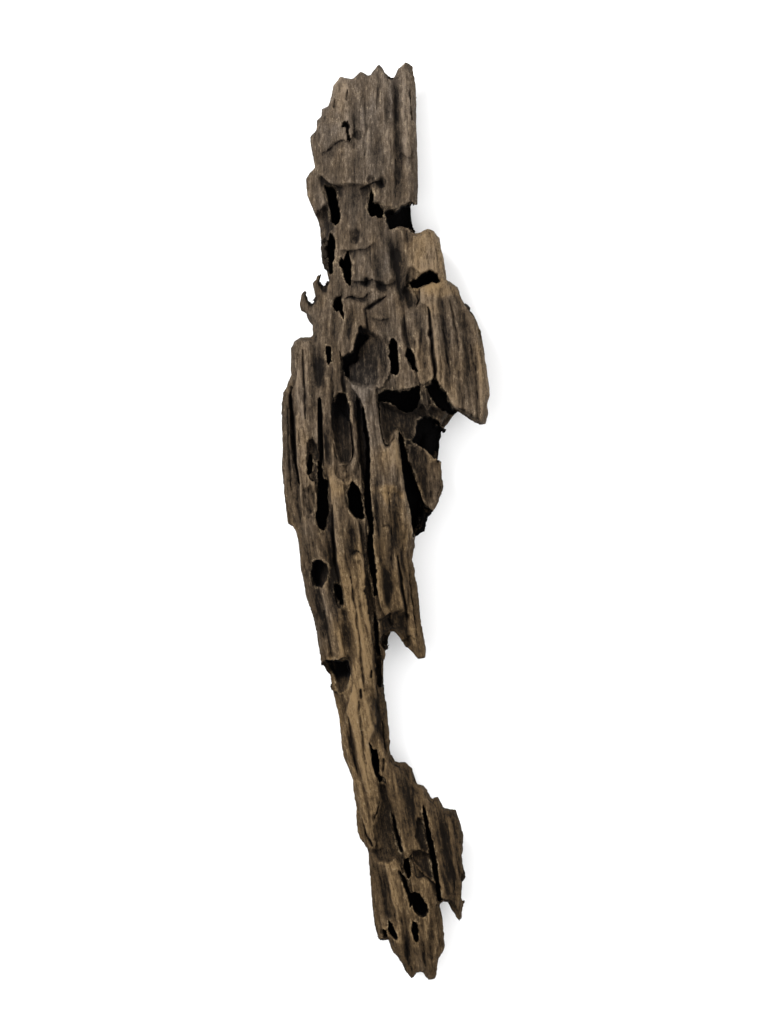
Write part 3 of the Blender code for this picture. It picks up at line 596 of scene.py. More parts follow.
# %% [markdown]
# To press a rim in, each point has to know whether it is inside the rim and how far from it. Both
# could be painted as a picture and read back. Working them out from the drawn lines is exact at
# every size. The same helpers serve the lines that come later.

# %% Helpers for rims and lines
def inside(x, y, rim):
    """Which places lie inside a closed rim."""
    found = np.zeros(len(x), bool)
    for (x0, y0), (x1, y1) in zip(rim, rim[1:] + rim[:1]):
        if y0 != y1:
            crosses = (y0 > y) != (y1 > y)
            found ^= crosses & (x < x0 + (y - y0) * (x1 - x0) / (y1 - y0))
    return found


def near_box(x, y, line, margin):
    """Which places lie near a line's box, as indices."""
    xs = [place[0] for place in line]
    ys = [place[1] for place in line]
    inside_x = (x > min(xs) - margin) & (x < max(xs) + margin)
    return np.nonzero(inside_x & (y > min(ys) - margin) & (y < max(ys) + margin))[0]


def nearest_on_line(x, y, line):
    """Distance to a drawn line, on which side of it, and how far along it, for many places."""
    best = np.full(len(x), np.inf)
    side = np.zeros(len(x))
    along = np.zeros(len(x))
    count = len(line) - 1
    for index, ((x0, y0), (x1, y1)) in enumerate(zip(line, line[1:])):
        run_x = x1 - x0
        run_y = y1 - y0
        share = ((x - x0) * run_x + (y - y0) * run_y) / (run_x**2 + run_y**2)
        share = np.clip(share, 0, 1)
        away_x = x - x0 - share * run_x
        away_y = y - y0 - share * run_y
        distance = np.hypot(away_x, away_y)
        closer = distance < best
        best[closer] = distance[closer]
        side[closer] = np.sign(run_x * away_y - run_y * away_x)[closer]
        along[closer] = ((index + share) / count)[closer]
    return best, side, along


print("longest rim:", max(len(row[-1]) for row in HOLLOWS), "places")

# %% [markdown]
# The imported model has these hollows too, a little wider and with smoother walls. They could be
# filled and cut anew. Here the ground outside the rims is lifted until only a shallow valley is
# left of it. Inside a rim the floor may slope, and where it is deep it is painted dark as shade.

# %% The ground and the floors
# All in millimetres, apart from those in units or shares, which say so.
VALLEY_DEPTH = 2.5
LEFT_OF_DEPTH = 0.06  # share of what is deeper than a valley
STEEP_RAMP = 2.5  # units
DEPTH_AT_STEEP_RIM = 0.5  # share
DEPTH_AT_SOFT_RIM = 0.1  # share
# Painted shade on the floors of deep hollows: the depth where it begins, how much more makes it full,
# and the units from the rim over which it fades in.
PIT_SHADE_FROM_DEPTH = 8
PIT_SHADE_FULL_AFTER = 4
PIT_SHADE_EDGE = 0.8  # units


def lifted_ground(points, level):
    """The heights in millimetres once only shallow valleys are left on the front."""
    before = points[:, 2] / MM
    depths = level - before
    left = np.minimum(depths, VALLEY_DEPTH + LEFT_OF_DEPTH * (depths - VALLEY_DEPTH))
    return before + (level - left - before) * share_on_front(points)


def sunk_in_hollow(x, y, from_rim, row):
    """How far a hollow sinks the places inside its rim, and how much painted shade darkens them."""
    depth, less_right, less_down, ramp, rim = row
    middle_x, middle_y = np.mean(rim, axis=0)
    sloped = depth - less_right * (x - middle_x) - less_down * (y - middle_y)
    at_rim = DEPTH_AT_STEEP_RIM if ramp < STEEP_RAMP else DEPTH_AT_SOFT_RIM
    sunk = np.maximum(sloped, 1) * (at_rim + (1 - at_rim) * np.clip(from_rim / ramp, 0, 1))
    # Painted shade: the floors of deep hollows go almost black.
    painted_pit_shade = np.clip((sloped - PIT_SHADE_FROM_DEPTH) / PIT_SHADE_FULL_AFTER, 0, 1)
    return sunk, painted_pit_shade * np.clip(from_rim / PIT_SHADE_EDGE, 0, 1)


print("ground between the hollows lies at most about", VALLEY_DEPTH, "mm deep")

# %% [markdown]
# Cutters would leave clean walls. Here each point inside a rim is sunk to the floor, and noise
# shifts the rims, so that they look torn. A floor always stays a little above the back, so no hole
# goes through. How much painted shade darkens a deep floor, and how near a point is to a deep
# hollow's torn edge, where bare wood shows, are kept as numbers for the material.

# %% Pressing the hollows in
FLOOR_OVER_BACK = 3.0  # millimetres
BACK_UNDER_FLOOR = 1  # millimetres below that, where the points of the back begin
WALL_RAGGED = 1.2  # units
RAGGED_STRETCH = (1.3, 2.6, 50)
RIM_GROWTH = 0.6  # units
TORN_EDGE = 3.0  # units
TORN_FROM_DEPTH = 9  # millimetres


def press_hollows(points):
    """Brings the points inside each rim to the hollow's floor. Returns the points, how deep each
    was pressed, how much painted shade darkens it, and how near it is to a deep hollow's torn edge."""
    x, y = in_drawing(points)
    cells = map_cells(points)
    places = grain_places(points)
    torn_x = x + WALL_RAGGED * noise_at(places, RAGGED_STRETCH, 3.1)
    torn_y = y + WALL_RAGGED * noise_at(places, RAGGED_STRETCH, 8.4)
    level = level_over(front)[cells]
    lowest = back[cells] + FLOOR_OVER_BACK
    inner = border[cells]
    before = points[:, 2] / MM
    heights = lifted_ground(points, level)
    pressed, pit_shade, torn = np.zeros((3, len(points)))
    for row in HOLLOWS:
        rim = row[-1]
        near = near_box(torn_x, torn_y, rim, TORN_EDGE)
        near = near[before[near] > lowest[near] - BACK_UNDER_FLOOR]
        within = inside(torn_x[near], torn_y[near], rim)
        from_rim, _, _ = nearest_on_line(torn_x[near], torn_y[near], rim + rim[:1])
        from_rim = np.where(within, from_rim, -from_rim) + RIM_GROWTH
        if row[0] > TORN_FROM_DEPTH:
            beside = np.clip(1 + from_rim / TORN_EDGE, 0, 1) * (from_rim < 0)
            torn[near] = np.maximum(torn[near], beside)
        near = near[from_rim > 0]
        from_rim = from_rim[from_rim > 0]
        sunk, painted_pit_shade = sunk_in_hollow(x[near], y[near], from_rim, row)
        floor_height = np.maximum(level[near] - sunk, lowest[near])
        lift = np.maximum(floor_height - before[near], 0) * (1 - inner[near])
        floor_height = floor_height - lift
        pit_shade[near] = np.maximum(pit_shade[near], painted_pit_shade)
        deeper = level[near] - floor_height > pressed[near]
        heights[near[deeper]] = floor_height[deeper]
        pressed[near[deeper]] = (level[near] - floor_height)[deeper]
    points[:, 2] = heights * MM
    torn[pit_shade > 0] = 0
    return points, pressed, pit_shade, torn


def store(mesh, name, values):
    """Keeps one number for each point on the mesh, for the material to read."""
    attribute = mesh.attributes.new(name, "FLOAT", "POINT")
    attribute.data.foreach_set("value", values.astype(np.float32))


pressed_points, pressed, pit_shade, torn = press_hollows(read_points(wood_mesh))
write_points(wood_mesh, pressed_points)
# The painted shade of the deep floors is kept for the material.
store(wood_mesh, "pit_shade", pit_shade)
store(wood_mesh, "torn", torn)
print("pressed in:", len(HOLLOWS), "hollows, the deepest", round(float(pressed.max()), 1), "mm")

# %% [markdown]
# Splits open where wood dries. They are thin, deepest in the middle and end in points. A wedge
# could cut each. Sinking the points near a drawn line does the same and is quick to redraw.

# %% Splits
# Half width in units, depth in millimetres, and the line.
SPLITS = [
    (2.2, 2.5, [(411, 90), (413, 104), (413, 121)]),
    (2.0, 1.5, [(365, 98), (366, 130), (364, 160)]),
    (2.0, 1.2, [(378, 84), (377, 110)]),
    (2.0, 1.5, [(395, 160), (396, 188)]),
    (2.4, 3.0, [(386, 297), (378, 304), (370, 308), (366, 311), (367, 325), (368, 338)]),
    (2.4, 4.0, [(428, 309), (430, 325), (431, 340), (433, 355), (434, 370), (435, 384)]),
    (1.8, 1.8, [(450, 300), (455, 330), (458, 352)]),
    (1.8, 1.5, [(470, 345), (474, 372), (477, 400)]),
    (1.8, 1.6, [(443, 330), (447, 360), (450, 392)]),
    (2.2, 3.5, [(341, 353), (343, 380), (346, 402)]),
    (2.2, 3.0, [(303, 352), (305, 385), (306, 420)]),
    (1.8, 2.0, [(288, 410), (289, 450), (292, 490)]),
    (1.8, 1.5, [(299, 430), (302, 470), (305, 515)]),
    (1.8, 1.5, [(382, 526), (392, 525)]),
    (2.4, 4.0, [(333, 505), (334, 540), (336, 562), (340, 588)]),
    (2.4, 4.0, [(398, 555), (402, 590), (407, 618)]),
    (1.8, 1.4, [(388, 496), (390, 515), (391, 535)]),
    (1.6, 1.2, [(381, 470), (382, 500), (384, 530)]),
    (2.6, 5.0, [(290, 388), (292, 405), (294, 430), (296, 455), (300, 484)]),
    (2.6, 5.0, [(320, 398), (321, 420), (322, 445), (321, 478)]),
    (2.4, 3.0, [(350, 418), (352, 440), (353, 458)]),
    (1.8, 3.0, [(371, 669), (371, 678)]),
    (1.8, 3.0, [(361, 688), (361, 698)]),
    (2.0, 2.2, [(333, 98), (334, 109)]),
    (2.0, 2.2, [(347, 91), (346, 102)]),
    (1.8, 2.2, [(366, 279), (366, 288)]),
    (2.2, 3.0, [(388, 617), (392, 626)]),
    (1.8, 2.0, [(410, 570), (414, 600), (418, 635)]),
    (1.8, 2.2, [(350, 575), (356, 610), (361, 650), (364, 690)]),
    (1.8, 1.5, [(324, 610), (329, 640), (332, 655)]),
    (1.8, 2.0, [(383, 640), (384, 670), (386, 700)]),
    (2.0, 3.0, [(383, 758), (383, 772)]),
    (2.4, 4.0, [(384, 720), (386, 735), (388, 752)]),
    (1.8, 2.2, [(358, 700), (362, 735), (366, 765)]),
    (1.8, 2.0, [(348, 715), (352, 745), (357, 775)]),
    (2.2, 3.5, [(361, 820), (366, 833), (372, 846)]),
    (2.0, 2.5, [(423, 804), (426, 818)]),
    (2.4, 4.0, [(399, 870), (404, 880), (408, 888), (411, 896)]),
    (1.8, 2.0, [(385, 870), (390, 895), (396, 920)]),
    (1.8, 1.8, [(447, 825), (451, 855), (455, 890)]),
    (1.8, 2.0, [(406, 940), (408, 965)]),
    (1.8, 2.0, [(423, 940), (425, 966)]),
]
print("splits:", len(SPLITS))

# %% [markdown]
# Grooves are wide and soft, as between two rounded strands of wood. Strands could be laid on as
# tubes, but grooves leave the piece one skin. The table is as before: only the shape across the
# line is another one.

# %% Grooves
# Half width in units, depth in millimetres, and the line. All depths are times the strength.
GROOVE_STRENGTH = 1.35
GROOVES = [
    (7, 2.2, [(398, 74), (397, 110), (399, 150), (401, 196)]),
    (5, 1.6, [(387, 92), (388, 112), (389, 132)]),
    (7, 1.0, [(350, 84), (354, 110), (352, 138)]),
    (9, 1.0, [(374, 120), (378, 150), (382, 176)]),
    (10, 3.4, [(393, 234), (397, 260), (402, 285), (410, 314)]),
    (8, 1.6, [(374, 250), (378, 275), (383, 296)]),
    (7, 2.0, [(405, 318), (408, 340), (412, 352)]),
    (6, 2.0, [(418, 308), (421, 340), (424, 372)]),
    (7, 1.6, [(440, 300), (446, 340), (452, 385)]),
    (7, 1.6, [(460, 305), (466, 345), (471, 400)]),
    (8, 2.2, [(320, 352), (322, 375), (326, 400)]),
    (7, 1.6, [(353, 302), (350, 325), (347, 345)]),
    (6, 2.0, [(327, 400), (328, 440), (330, 474)]),
    (6, 1.4, [(312, 352), (313, 390), (313, 430)]),
    (6, 1.8, [(377, 470), (377, 500), (378, 540)]),
    (8, 2.2, [(397, 470), (397, 510), (394, 560)]),
    (7, 2.0, [(352, 520), (352, 545), (350, 575)]),
    (8, 2.4, [(343, 615), (350, 650), (354, 690)]),
    (8, 2.0, [(329, 545), (332, 580), (338, 625)]),
    (9, 1.6, [(312, 560), (318, 600), (325, 640)]),
    (7, 2.4, [(386, 560), (388, 590), (386, 612)]),
    (7, 2.0, [(372, 690), (377, 720), (381, 748)]),
    (7, 1.6, [(346, 720), (352, 750), (360, 780)]),
    (6, 1.8, [(414, 552), (416, 590), (420, 630)]),
    (9, 2.2, [(402, 775), (410, 805), (414, 838)]),
    (8, 2.0, [(440, 815), (446, 850), (451, 890)]),
    (8, 2.2, [(380, 868), (386, 900), (396, 935)]),
    (8, 1.8, [(400, 905), (405, 935), (412, 965)]),
    (6, 1.6, [(430, 905), (432, 935), (430, 965)]),
]
print("grooves:", len(GROOVES))

# %% [markdown]
# A ledge is where a layer of wood has broken off. Beside it the wood sinks on one side only, and
# comes up again further off. Dents and knobs are round. Drawing them one by one puts each where the
# real wood has it, which noise wouldn't.

# %% Ledges, dents and knobs
# Ledges: how far they reach in units, depth in millimetres, and the line. The wood to the right of
# the line, seen along it, is the lower.
LEDGES = [
    (9, 1.8, [(352, 112), (354, 130), (351, 143), (342, 141), (333, 145), (325, 152), (316, 155)]),
    (10, 2.4, [(388, 190), (380, 181), (372, 185), (365, 188), (358, 190)]),
    (10, 2.4, [(343, 189), (330, 184), (320, 176)]),
    (7, 1.4, [(416, 150), (408, 158), (399, 153)]),
    (9, 1.8, [(378, 243), (366, 250), (350, 252), (338, 251)]),
    (9, 2.0, [(397, 283), (384, 286), (372, 281), (360, 284), (346, 281)]),
    (9, 1.6, [(374, 292), (362, 299), (350, 297), (344, 301)]),
    (8, 1.4, [(392, 318), (380, 322), (371, 318)]),
    (6, 0.8, [(402, 488), (394, 494), (384, 491), (376, 494)]),
    (9, 1.8, [(366, 556), (357, 549), (350, 553)]),
    (7, 1.4, [(418, 640), (410, 634), (404, 638)]),
]
# Radius in units, depth in millimetres and place. A knob has a negative depth.
DENTS = [
    (6, 1.8, 359, 137), (7, 2.0, 356, 236), (6, 1.8, 366, 284), (6, 1.8, 381, 287),
    (5, 1.4, 392, 285), (5, 2.4, 371, 182), (6, 2.6, 381, 184), (4, 1.6, 345, 612),
    (6, -1.8, 356, 556), (5, 1.6, 323, 635), (4, -1.5, 345, 475), (4, -1.4, 348, 483),
    (5, 1.8, 355, 242), (3, 2.0, 384, 934), (4, 1.5, 332, 655),
]
print("ledges:", len(LEDGES), "dents and knobs:", len(DENTS))

# %% [markdown]
# The underside has splits as well, although the picture doesn't show them. They are drawn by seeded
# chance, along the grain, which is enough for a side that is only seen when the piece is turned.

# %% Splits on the underside
BACK_SPLIT_COUNT = 60
BACK_SPLIT_SEED = 21
# Where they start, how long they are, how far they bend and half how wide they are, in units.
STARTS_DOWN = (80, 920)
STARTS_RIGHT = (300, 470)
SPLIT_LENGTHS = (20, 90)
SPLIT_BENDS = (-3, 3)
SPLIT_WIDTHS = (2, 3.2)
SPLIT_DEPTHS = (1.5, 4)  # millimetres
# The wood moves to the right on its way down, and below the second Y its grain leans that way too.
PIECE_SLANT = (400, 0.1)
GRAIN_LEAN = (450, 0.2)


def back_splits():
    """Lines along the grain in random places, each with a half width and a depth."""
    draw = random.Random(BACK_SPLIT_SEED)
    splits = []
    for _ in range(BACK_SPLIT_COUNT):
        y = draw.uniform(*STARTS_DOWN)
        length = draw.uniform(*SPLIT_LENGTHS)
        x = draw.uniform(*STARTS_RIGHT) + (y - PIECE_SLANT[0]) * PIECE_SLANT[1]
        lean = GRAIN_LEAN[1] if y > GRAIN_LEAN[0] else 0
        bend = draw.uniform(*SPLIT_BENDS)
        middle = (x + lean * length / 2 + bend, y + length / 2)
        line = [(x, y), middle, (x + lean * length, y + length)]
        splits.append((draw.uniform(*SPLIT_WIDTHS), draw.uniform(*SPLIT_DEPTHS), line))
    return splits


print("splits on the underside:", BACK_SPLIT_COUNT)

# %% [markdown]
# Across a split the depth falls off straight, which makes a V, and across a groove in a soft
# curve. Both taper towards their ends. Where splits meet, the deeper one counts, because a crack
# doesn't deepen another. Grooves add up, as wear does.

# %% How far lines sink the wood
def tapered(along, steepness, least):
    """From least at the ends of a line to 1 in its middle."""
    return np.clip(steepness * np.minimum(along, 1 - along) + least, 0, 1)


def sunk_by_lines(x, y, splits, grooves):
    """How far splits and grooves sink each place, in millimetres."""
    sunk = np.zeros(len(x))
    for width, depth, line in splits:
        near = near_box(x, y, line, width)
        away, _, along = nearest_on_line(x[near], y[near], line)
        half_width = width * tapered(along, 4, 0.25)
        sunk[near] = np.maximum(sunk[near], depth * np.clip(1 - away / half_width, 0, 1))
    for width, depth, line in grooves:
        near = near_box(x, y, line, width)
        away, _, along = nearest_on_line(x[near], y[near], line)
        strength = GROOVE_STRENGTH * depth * tapered(along, 3, 0.2)
        sunk[near] += strength * np.clip(1 - (away / width) ** 2, 0, 1) ** 2
    return sunk


def sunk_by_ledges(x, y):
    """How far ledges and dents sink each place, in millimetres."""
    sunk = np.zeros(len(x))
    for reach, depth, line in LEDGES:
        near = near_box(x, y, line, reach)
        away, side, along = nearest_on_line(x[near], y[near], line)
        fall = depth * tapered(along, 5, 0) * np.clip(1 - away / reach, 0, 1)
        sunk[near] += np.where(side < 0, fall, 0)
    for radius, depth, middle_x, middle_y in DENTS:
        away = np.hypot(x - middle_x, y - middle_y) / radius
        sunk += depth * np.clip(1 - away**2, 0, 1)
    return sunk


print("strongest groove:", round(GROOVE_STRENGTH * max(row[1] for row in GROOVES), 1), "mm")

# %% [markdown]
# Weather leaves hard grain standing as ridges. A displacement texture could show it, but noise that
# follows the grain needs the table above. Taking the distance of a noise from zero gives rounded
# strands with sharp valleys between them: wide strands, narrow ridges and fibres are three sizes of
# that, stretched along the grain. Chips and crumbs break the ridges up.

# %% Ridges of the grain
# How strong the ridges are, by Y in the drawing.
RUGGED = [(150, 220, 300, 380, 640, 720, 981), (0.55, 0.7, 0.9, 1.15, 1.2, 1.1, 1.1)]
BEND = 1.2
ROUNDED = 0.7


def ridges(places):
    """Relief of the grain in millimetres: strands, ridges, fibres and the chips out of them."""
    bend = BEND * noise_at(places, (9, 22, 14), 40.3)
    bent = places + np.column_stack((bend, np.zeros(len(bend)), np.zeros(len(bend))))
    strands = np.abs(noise_at(bent, (6.5, 75, 12), 1.7)) ** ROUNDED
    narrow = np.abs(noise_at(bent, (2.2, 24, 6), 5.2)) ** ROUNDED
    fibres = np.abs(noise_at(bent, (1.1, 9, 3), 9.9))
    chips = noise_at(places, (2.4, 5, 4), 14.3)
    crumbs = noise_at(places, (1.2, 1.6, 1.6), 17.7)
    chipped = np.minimum(chips + 0.15, 0)
    grown = 2.4 * (strands - 0.5) + 1.5 * (narrow - 0.4) + 0.7 * (fibres - 0.2)
    strength = np.interp(-places[:, 1] * MM / UNIT, *RUGGED)
    return strength * grown + chipped + 0.25 * crumbs


print("ridges are strongest at", RUGGED[0][RUGGED[1].index(max(RUGGED[1]))], "in the drawing")

# %% [markdown]
# Now the lines and the ridges move the skin. The front moves straight up or down, because a point
# on the wall of a hollow that moved out sideways would close the hollow with crumbs. The sides and
# the underside move along the way they face. The spots that the wood rests on stay flat, splinters
# are too thin for the full relief, and the walls of hollows are smoother.

# %% Carving
LINE_RAGGED = 1.5  # units
LINE_STRETCH = (3, 6, 9)
SIDEWAYS = 0.4
RELIEF_MIDDLE = 0.8
FOOT_HEIGHT = 1.5 * MM
# The cover at which wood counts as thin, how much more makes it thick, and the least share.
THIN_COVER = (0.42, 0.4, 0.06)
# The depth at which a hollow's wall begins, how much more makes it full, and what it loses.
HOLLOW_CALM = (3, 4, 0.75)


def carve(mesh, pressed):
    """Moves the skin's points for the lines, the grain and ragged rims. Returns the relief."""
    points = read_points(mesh)
    normals = read_normals(mesh)
    places = grain_places(points)
    x, y = in_drawing(points)
    x = x + LINE_RAGGED * noise_at(places, LINE_STRETCH, 3.1)
    y = y + LINE_RAGGED * noise_at(places, LINE_STRETCH, 8.4)
    relief = ridges(places)
    from_front = sunk_by_lines(x, y, SPLITS, GROOVES) + sunk_by_ledges(x, y)
    from_back = sunk_by_lines(x, y, back_splits(), [])
    facing = normals[:, 2]
    on_front = share_on_front(points)
    front_share = np.maximum(np.clip(facing * 2, 0, 1), on_front)
    sunk = from_front * front_share + from_back * np.clip(-facing * 2, 0, 1)
    steep = (1 - np.abs(facing)) * (1 - on_front)
    sideways = SIDEWAYS * steep * noise_at(places, (1.6, 3.5, 3), 21.4)
    upward = np.array([0, 0, 1])
    directions = normals + on_front[:, None] * (upward - normals)
    flat_foot = np.clip(points[:, 2] / FOOT_HEIGHT, 0, 1)
    thin_cover, thick_after, least = THIN_COVER
    thick = np.clip((cover[map_cells(points)] - thin_cover) / thick_after, least, 1)
    wall_depth, wall_after, calm = HOLLOW_CALM
    in_hollow = np.clip((pressed - wall_depth) / wall_after, 0, 1)
    share = flat_foot * thick * (1 - calm * in_hollow)
    change = (relief - RELIEF_MIDDLE - sunk + sideways) * share
    write_points(mesh, points + directions * change[:, None] * MM)
    return relief - sunk


relief = carve(wood_mesh, pressed)
store(wood_mesh, "relief", relief)
print("relief from", round(relief.min(), 2), "to", round(relief.max(), 2), "mm")

# %% [markdown]
# Crests are lighter and valleys darker: partly the paler wear of crests, partly painted light on the
# crests and painted shade in the valleys. The shader could guess both from bumps, but the real
# heights are known. The carved front gives new maps: the level over it, and a near and a wide
# average of the front. What lies above those averages is a crest.

# %% Maps of the carved front
NEAR_SOFTNESS = 3
WIDE_SOFTNESS = 9

carved_front = front_map(wood_mesh)
level_map = level_over(carved_front)
shallow_front = np.maximum(carved_front, level_map - VALLEY_DEPTH)
shallow_front = np.where(np.isfinite(carved_front), shallow_front, np.inf)
near_map = averaged(shallow_front, NEAR_SOFTNESS)
wide_map = averaged(shallow_front, WIDE_SOFTNESS)
print("highest wood at", round(carved_front.max(), 1), "mm")

# %% [markdown]
# Flat stretches and the underside need far fewer triangles than splits do. A coarser skin would
# lose the splits too. Decimate takes triangles away where they matter least, and a weight for each
# point makes it spare the front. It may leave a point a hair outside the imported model's box, so all
# points are written once more, which keeps them inside.

# %% Fewer triangles
MOST_TRIANGLES = 196000
SPARED = (0.5, 0.35)


def triangles_of(mesh):
    """How many triangles the mesh has once its squares are split."""
    return sum(len(face.vertices) - 2 for face in mesh.polygons)


keep_less = SPARED[0] - SPARED[1] * read_normals(wood_mesh)[:, 2]
kept_share = MOST_TRIANGLES / triangles_of(wood_mesh)
wood_mesh = applied(wood_mesh, "DECIMATE", keep_less, ratio=kept_share)
write_points(wood_mesh, read_points(wood_mesh))
print("triangles:", triangles_of(wood_mesh))

# %% [markdown]
# The points are final now. The maps tell for each how far it stands out of the wood around it and
# how deep it lies below the level. Both count on the front only, which is what the maps show.

# %% Crests and depths
NEAR_SHARE = 0.6
CREST_LIMITS = (-1.6, 1.5)

final_points = read_points(wood_mesh)
final_cells = map_cells(final_points)
final_heights = final_points[:, 2] / MM
on_front = share_on_front(final_points)
over_near = final_heights - near_map[final_cells]
over_wide = final_heights - wide_map[final_cells]
crest = NEAR_SHARE * over_near + (1 - NEAR_SHARE) * over_wide
store(wood_mesh, "crest", np.clip(crest, *CREST_LIMITS) * on_front)
store(wood_mesh, "deep", (level_map[final_cells] - final_heights) * on_front)
print("crests spread over", round(float(crest.std()), 2), "mm")

# %% [markdown]
# Hollows see little light. Rays from each point to all sides tell how closed in it is: the share
# of rays that hit wood close by is stored, and the material paints that as shade. A shader can
# measure the same at each render, but a stored number stays with the mesh wherever it goes. It also
# works on the sides and underneath, which the maps don't cover.

# %% How closed in each point is
RAY_COUNT = 20
RAY_SEED = 4
NEAR = 12 * MM
OFF_THE_SKIN = 0.3 * MM
GOLDEN_ANGLE = 2.399963
FULL_TURN = 6.28


def ray_directions():
    """Directions spread evenly over the half of the sky that a point faces."""
    directions = []
    for index in range(RAY_COUNT):
        height = 1 - (index + 0.5) / RAY_COUNT
        turn = index * GOLDEN_ANGLE
        sideways = math.sqrt(1 - height * height)
        directions.append(Vector((sideways * math.cos(turn), sideways * math.sin(turn), height)))
    return directions


def closed_in(mesh):
    """Share of rays from each point that hit the wood nearby, weighted by how near."""
    work = bmesh.new()
    work.from_mesh(mesh)
    tree = BVHTree.FromBMesh(work)
    draw = random.Random(RAY_SEED)
    directions = ray_directions()
    shares = np.zeros(len(work.verts))
    for index, vertex in enumerate(work.verts):
        spin = Matrix.Rotation(draw.random() * FULL_TURN, 3, "Z").to_quaternion()
        turn = vertex.normal.to_track_quat("Z", "Y") @ spin
        start = vertex.co + vertex.normal * OFF_THE_SKIN
        for direction in directions:
            hit = tree.ray_cast(start, turn @ direction, NEAR)
            if hit[3] is not None:
                shares[index] += (1 - 0.5 * hit[3] / NEAR) / RAY_COUNT
    work.free()
    return shares


ambient_shade = closed_in(wood_mesh)
# Painted shade: the material darkens closed-in places by this share.
store(wood_mesh, "ambient_shade", ambient_shade)
print("closed in, from none to", round(float(ambient_shade.max()), 2))

# %% [markdown]
# The wood isn't one colour all over. Where the sun reached it, it is pale, and where it was buried
# it is dark, and fresh breaks are ochre. It could be painted by hand. Each area here is a soft oval
# in the drawing that makes the wood lighter or darker and warmer or greyer, and noise frays it.

# %% Areas of other colour
# Each row: middle, half width, half height, change of lightness and change of warmth.
AREAS = [
    (368, 105, 60, 75, 0.16, -0.25), (338, 92, 14, 22, 0.25, 0.1),
    (316, 190, 10, 30, 0.15, 0.0), (408, 130, 12, 90, 0.12, 0.0),
    (362, 190, 60, 28, -0.08, -0.1), (360, 250, 50, 60, -0.06, -0.1),
    (430, 255, 22, 34, 0.45, 0.35), (434, 290, 26, 10, 0.3, 0.35),
    (455, 350, 40, 80, 0.08, 0.1), (484, 350, 7, 80, 0.3, 0.2),
    (415, 335, 14, 40, 0.1, 0.1), (385, 320, 34, 50, 0.0, -0.05),
    (361, 380, 16, 22, 0.0, -0.35), (372, 410, 12, 50, -0.06, -0.2),
    (303, 400, 15, 70, 0.14, 0.05), (287, 460, 8, 70, 0.02, 0.0),
    (335, 430, 22, 60, -0.05, 0.0), (390, 458, 18, 18, 0.22, 0.3),
    (425, 460, 16, 40, 0.04, 0.1), (388, 493, 16, 8, 0.35, 0.4),
    (340, 480, 20, 18, 0.15, 0.2), (390, 560, 20, 70, -0.1, 0.25),
    (350, 545, 16, 40, 0.05, 0.1), (356, 620, 18, 70, 0.26, 0.35),
    (316, 600, 18, 60, -0.04, -0.2), (414, 610, 12, 60, 0.08, 0.5),
    (356, 720, 24, 60, 0.24, 0.4), (380, 690, 10, 60, -0.2, 0.1),
    (362, 800, 18, 50, 0.17, 0.4), (405, 800, 26, 50, -0.18, 0.1),
    (447, 850, 24, 70, -0.26, 0.15), (395, 895, 24, 50, 0.12, 0.1),
    (430, 930, 14, 40, 0.0, 0.2), (405, 955, 20, 30, -0.08, 0.0),
]
AREA_FRAY = (5, 9)  # units to the side and along
FRAY_STRETCH = (5, 11, 8)
AREA_CORE = 1.3


def area_values(points):
    """Lightness and warmth of many points, as the areas that cover them change it."""
    x, y = in_drawing(points)
    places = grain_places(points)
    x = x + AREA_FRAY[0] * noise_at(places, FRAY_STRETCH, 30.2)
    y = y + AREA_FRAY[1] * noise_at(places, FRAY_STRETCH, 34.9)
    lightness = np.zeros(len(x))
    warmth = np.zeros(len(x))
    for middle_x, middle_y, half_width, half_height, lighter, warmer in AREAS:
        away = ((x - middle_x) / half_width) ** 2 + ((y - middle_y) / half_height) ** 2
        share = np.clip(AREA_CORE - away, 0, 1)
        lightness += lighter * share
        warmth += warmer * share
    return lightness, warmth


lightness, warmth = area_values(final_points)
store(wood_mesh, "lightness", lightness)
store(wood_mesh, "warmth", warmth)
print("areas:", len(AREAS))

# %% [markdown]
# The material's noise has to run with the grain. A Mapping node can stretch it, but can't bend it,
# and this grain bends. So each point keeps its place across the grain, along it and in depth, in
# units of 100 mm, and the noises read that.

# %% The grain's own places
GRAIN_UNIT = 100

grain_rows = grain_places(final_points) / GRAIN_UNIT
grain_attribute = wood_mesh.attributes.new("grain", "FLOAT_VECTOR", "POINT")
grain_attribute.data.foreach_set("vector", grain_rows.astype(np.float32).ravel())
print("attributes:", sorted(entry.name for entry in wood_mesh.attributes if entry.name[0] != "."))

# %% [markdown]
# A material is built from sums on its sockets. Adding and linking each Math node by hand is long
# and hard to read. This small class wraps a socket, so that ordinary Python signs add the Math
# nodes, and any other node comes from one function.

# %% A helper for shader sums
class Value:
    """A socket with arithmetic."""

    def __init__(self, tree, socket):
        self.tree = tree
        self.socket = socket

    def math_node(self, operation, first, second, clamp=False):
        """A Math node on two values, of which either may be a plain number."""
        settings = {"operation": operation, "use_clamp": clamp}
        return node_in(self.tree, "ShaderNodeMath", settings, {0: first, 1: second})

    def __add__(self, other):
        return self.math_node("ADD", self, other)

    def __sub__(self, other):
        return self.math_node("SUBTRACT", self, other)

    def __rsub__(self, other):
        return self.math_node("SUBTRACT", other, self)

    def __mul__(self, other):
        return self.math_node("MULTIPLY", self, other)

    __radd__ = __add__
    __rmul__ = __mul__

    def clamped(self):
        """The value kept between 0 and 1."""
        return self.math_node("ADD", self, 0.0, clamp=True)

    def ramp(self, low, high):
        """0 below low and 1 above high, smooth between."""
        settings = {"interpolation_type": "SMOOTHSTEP"}
        values = {"Value": self, "From Min": low, "From Max": high}
        return node_in(self.tree, "ShaderNodeMapRange", settings, values)


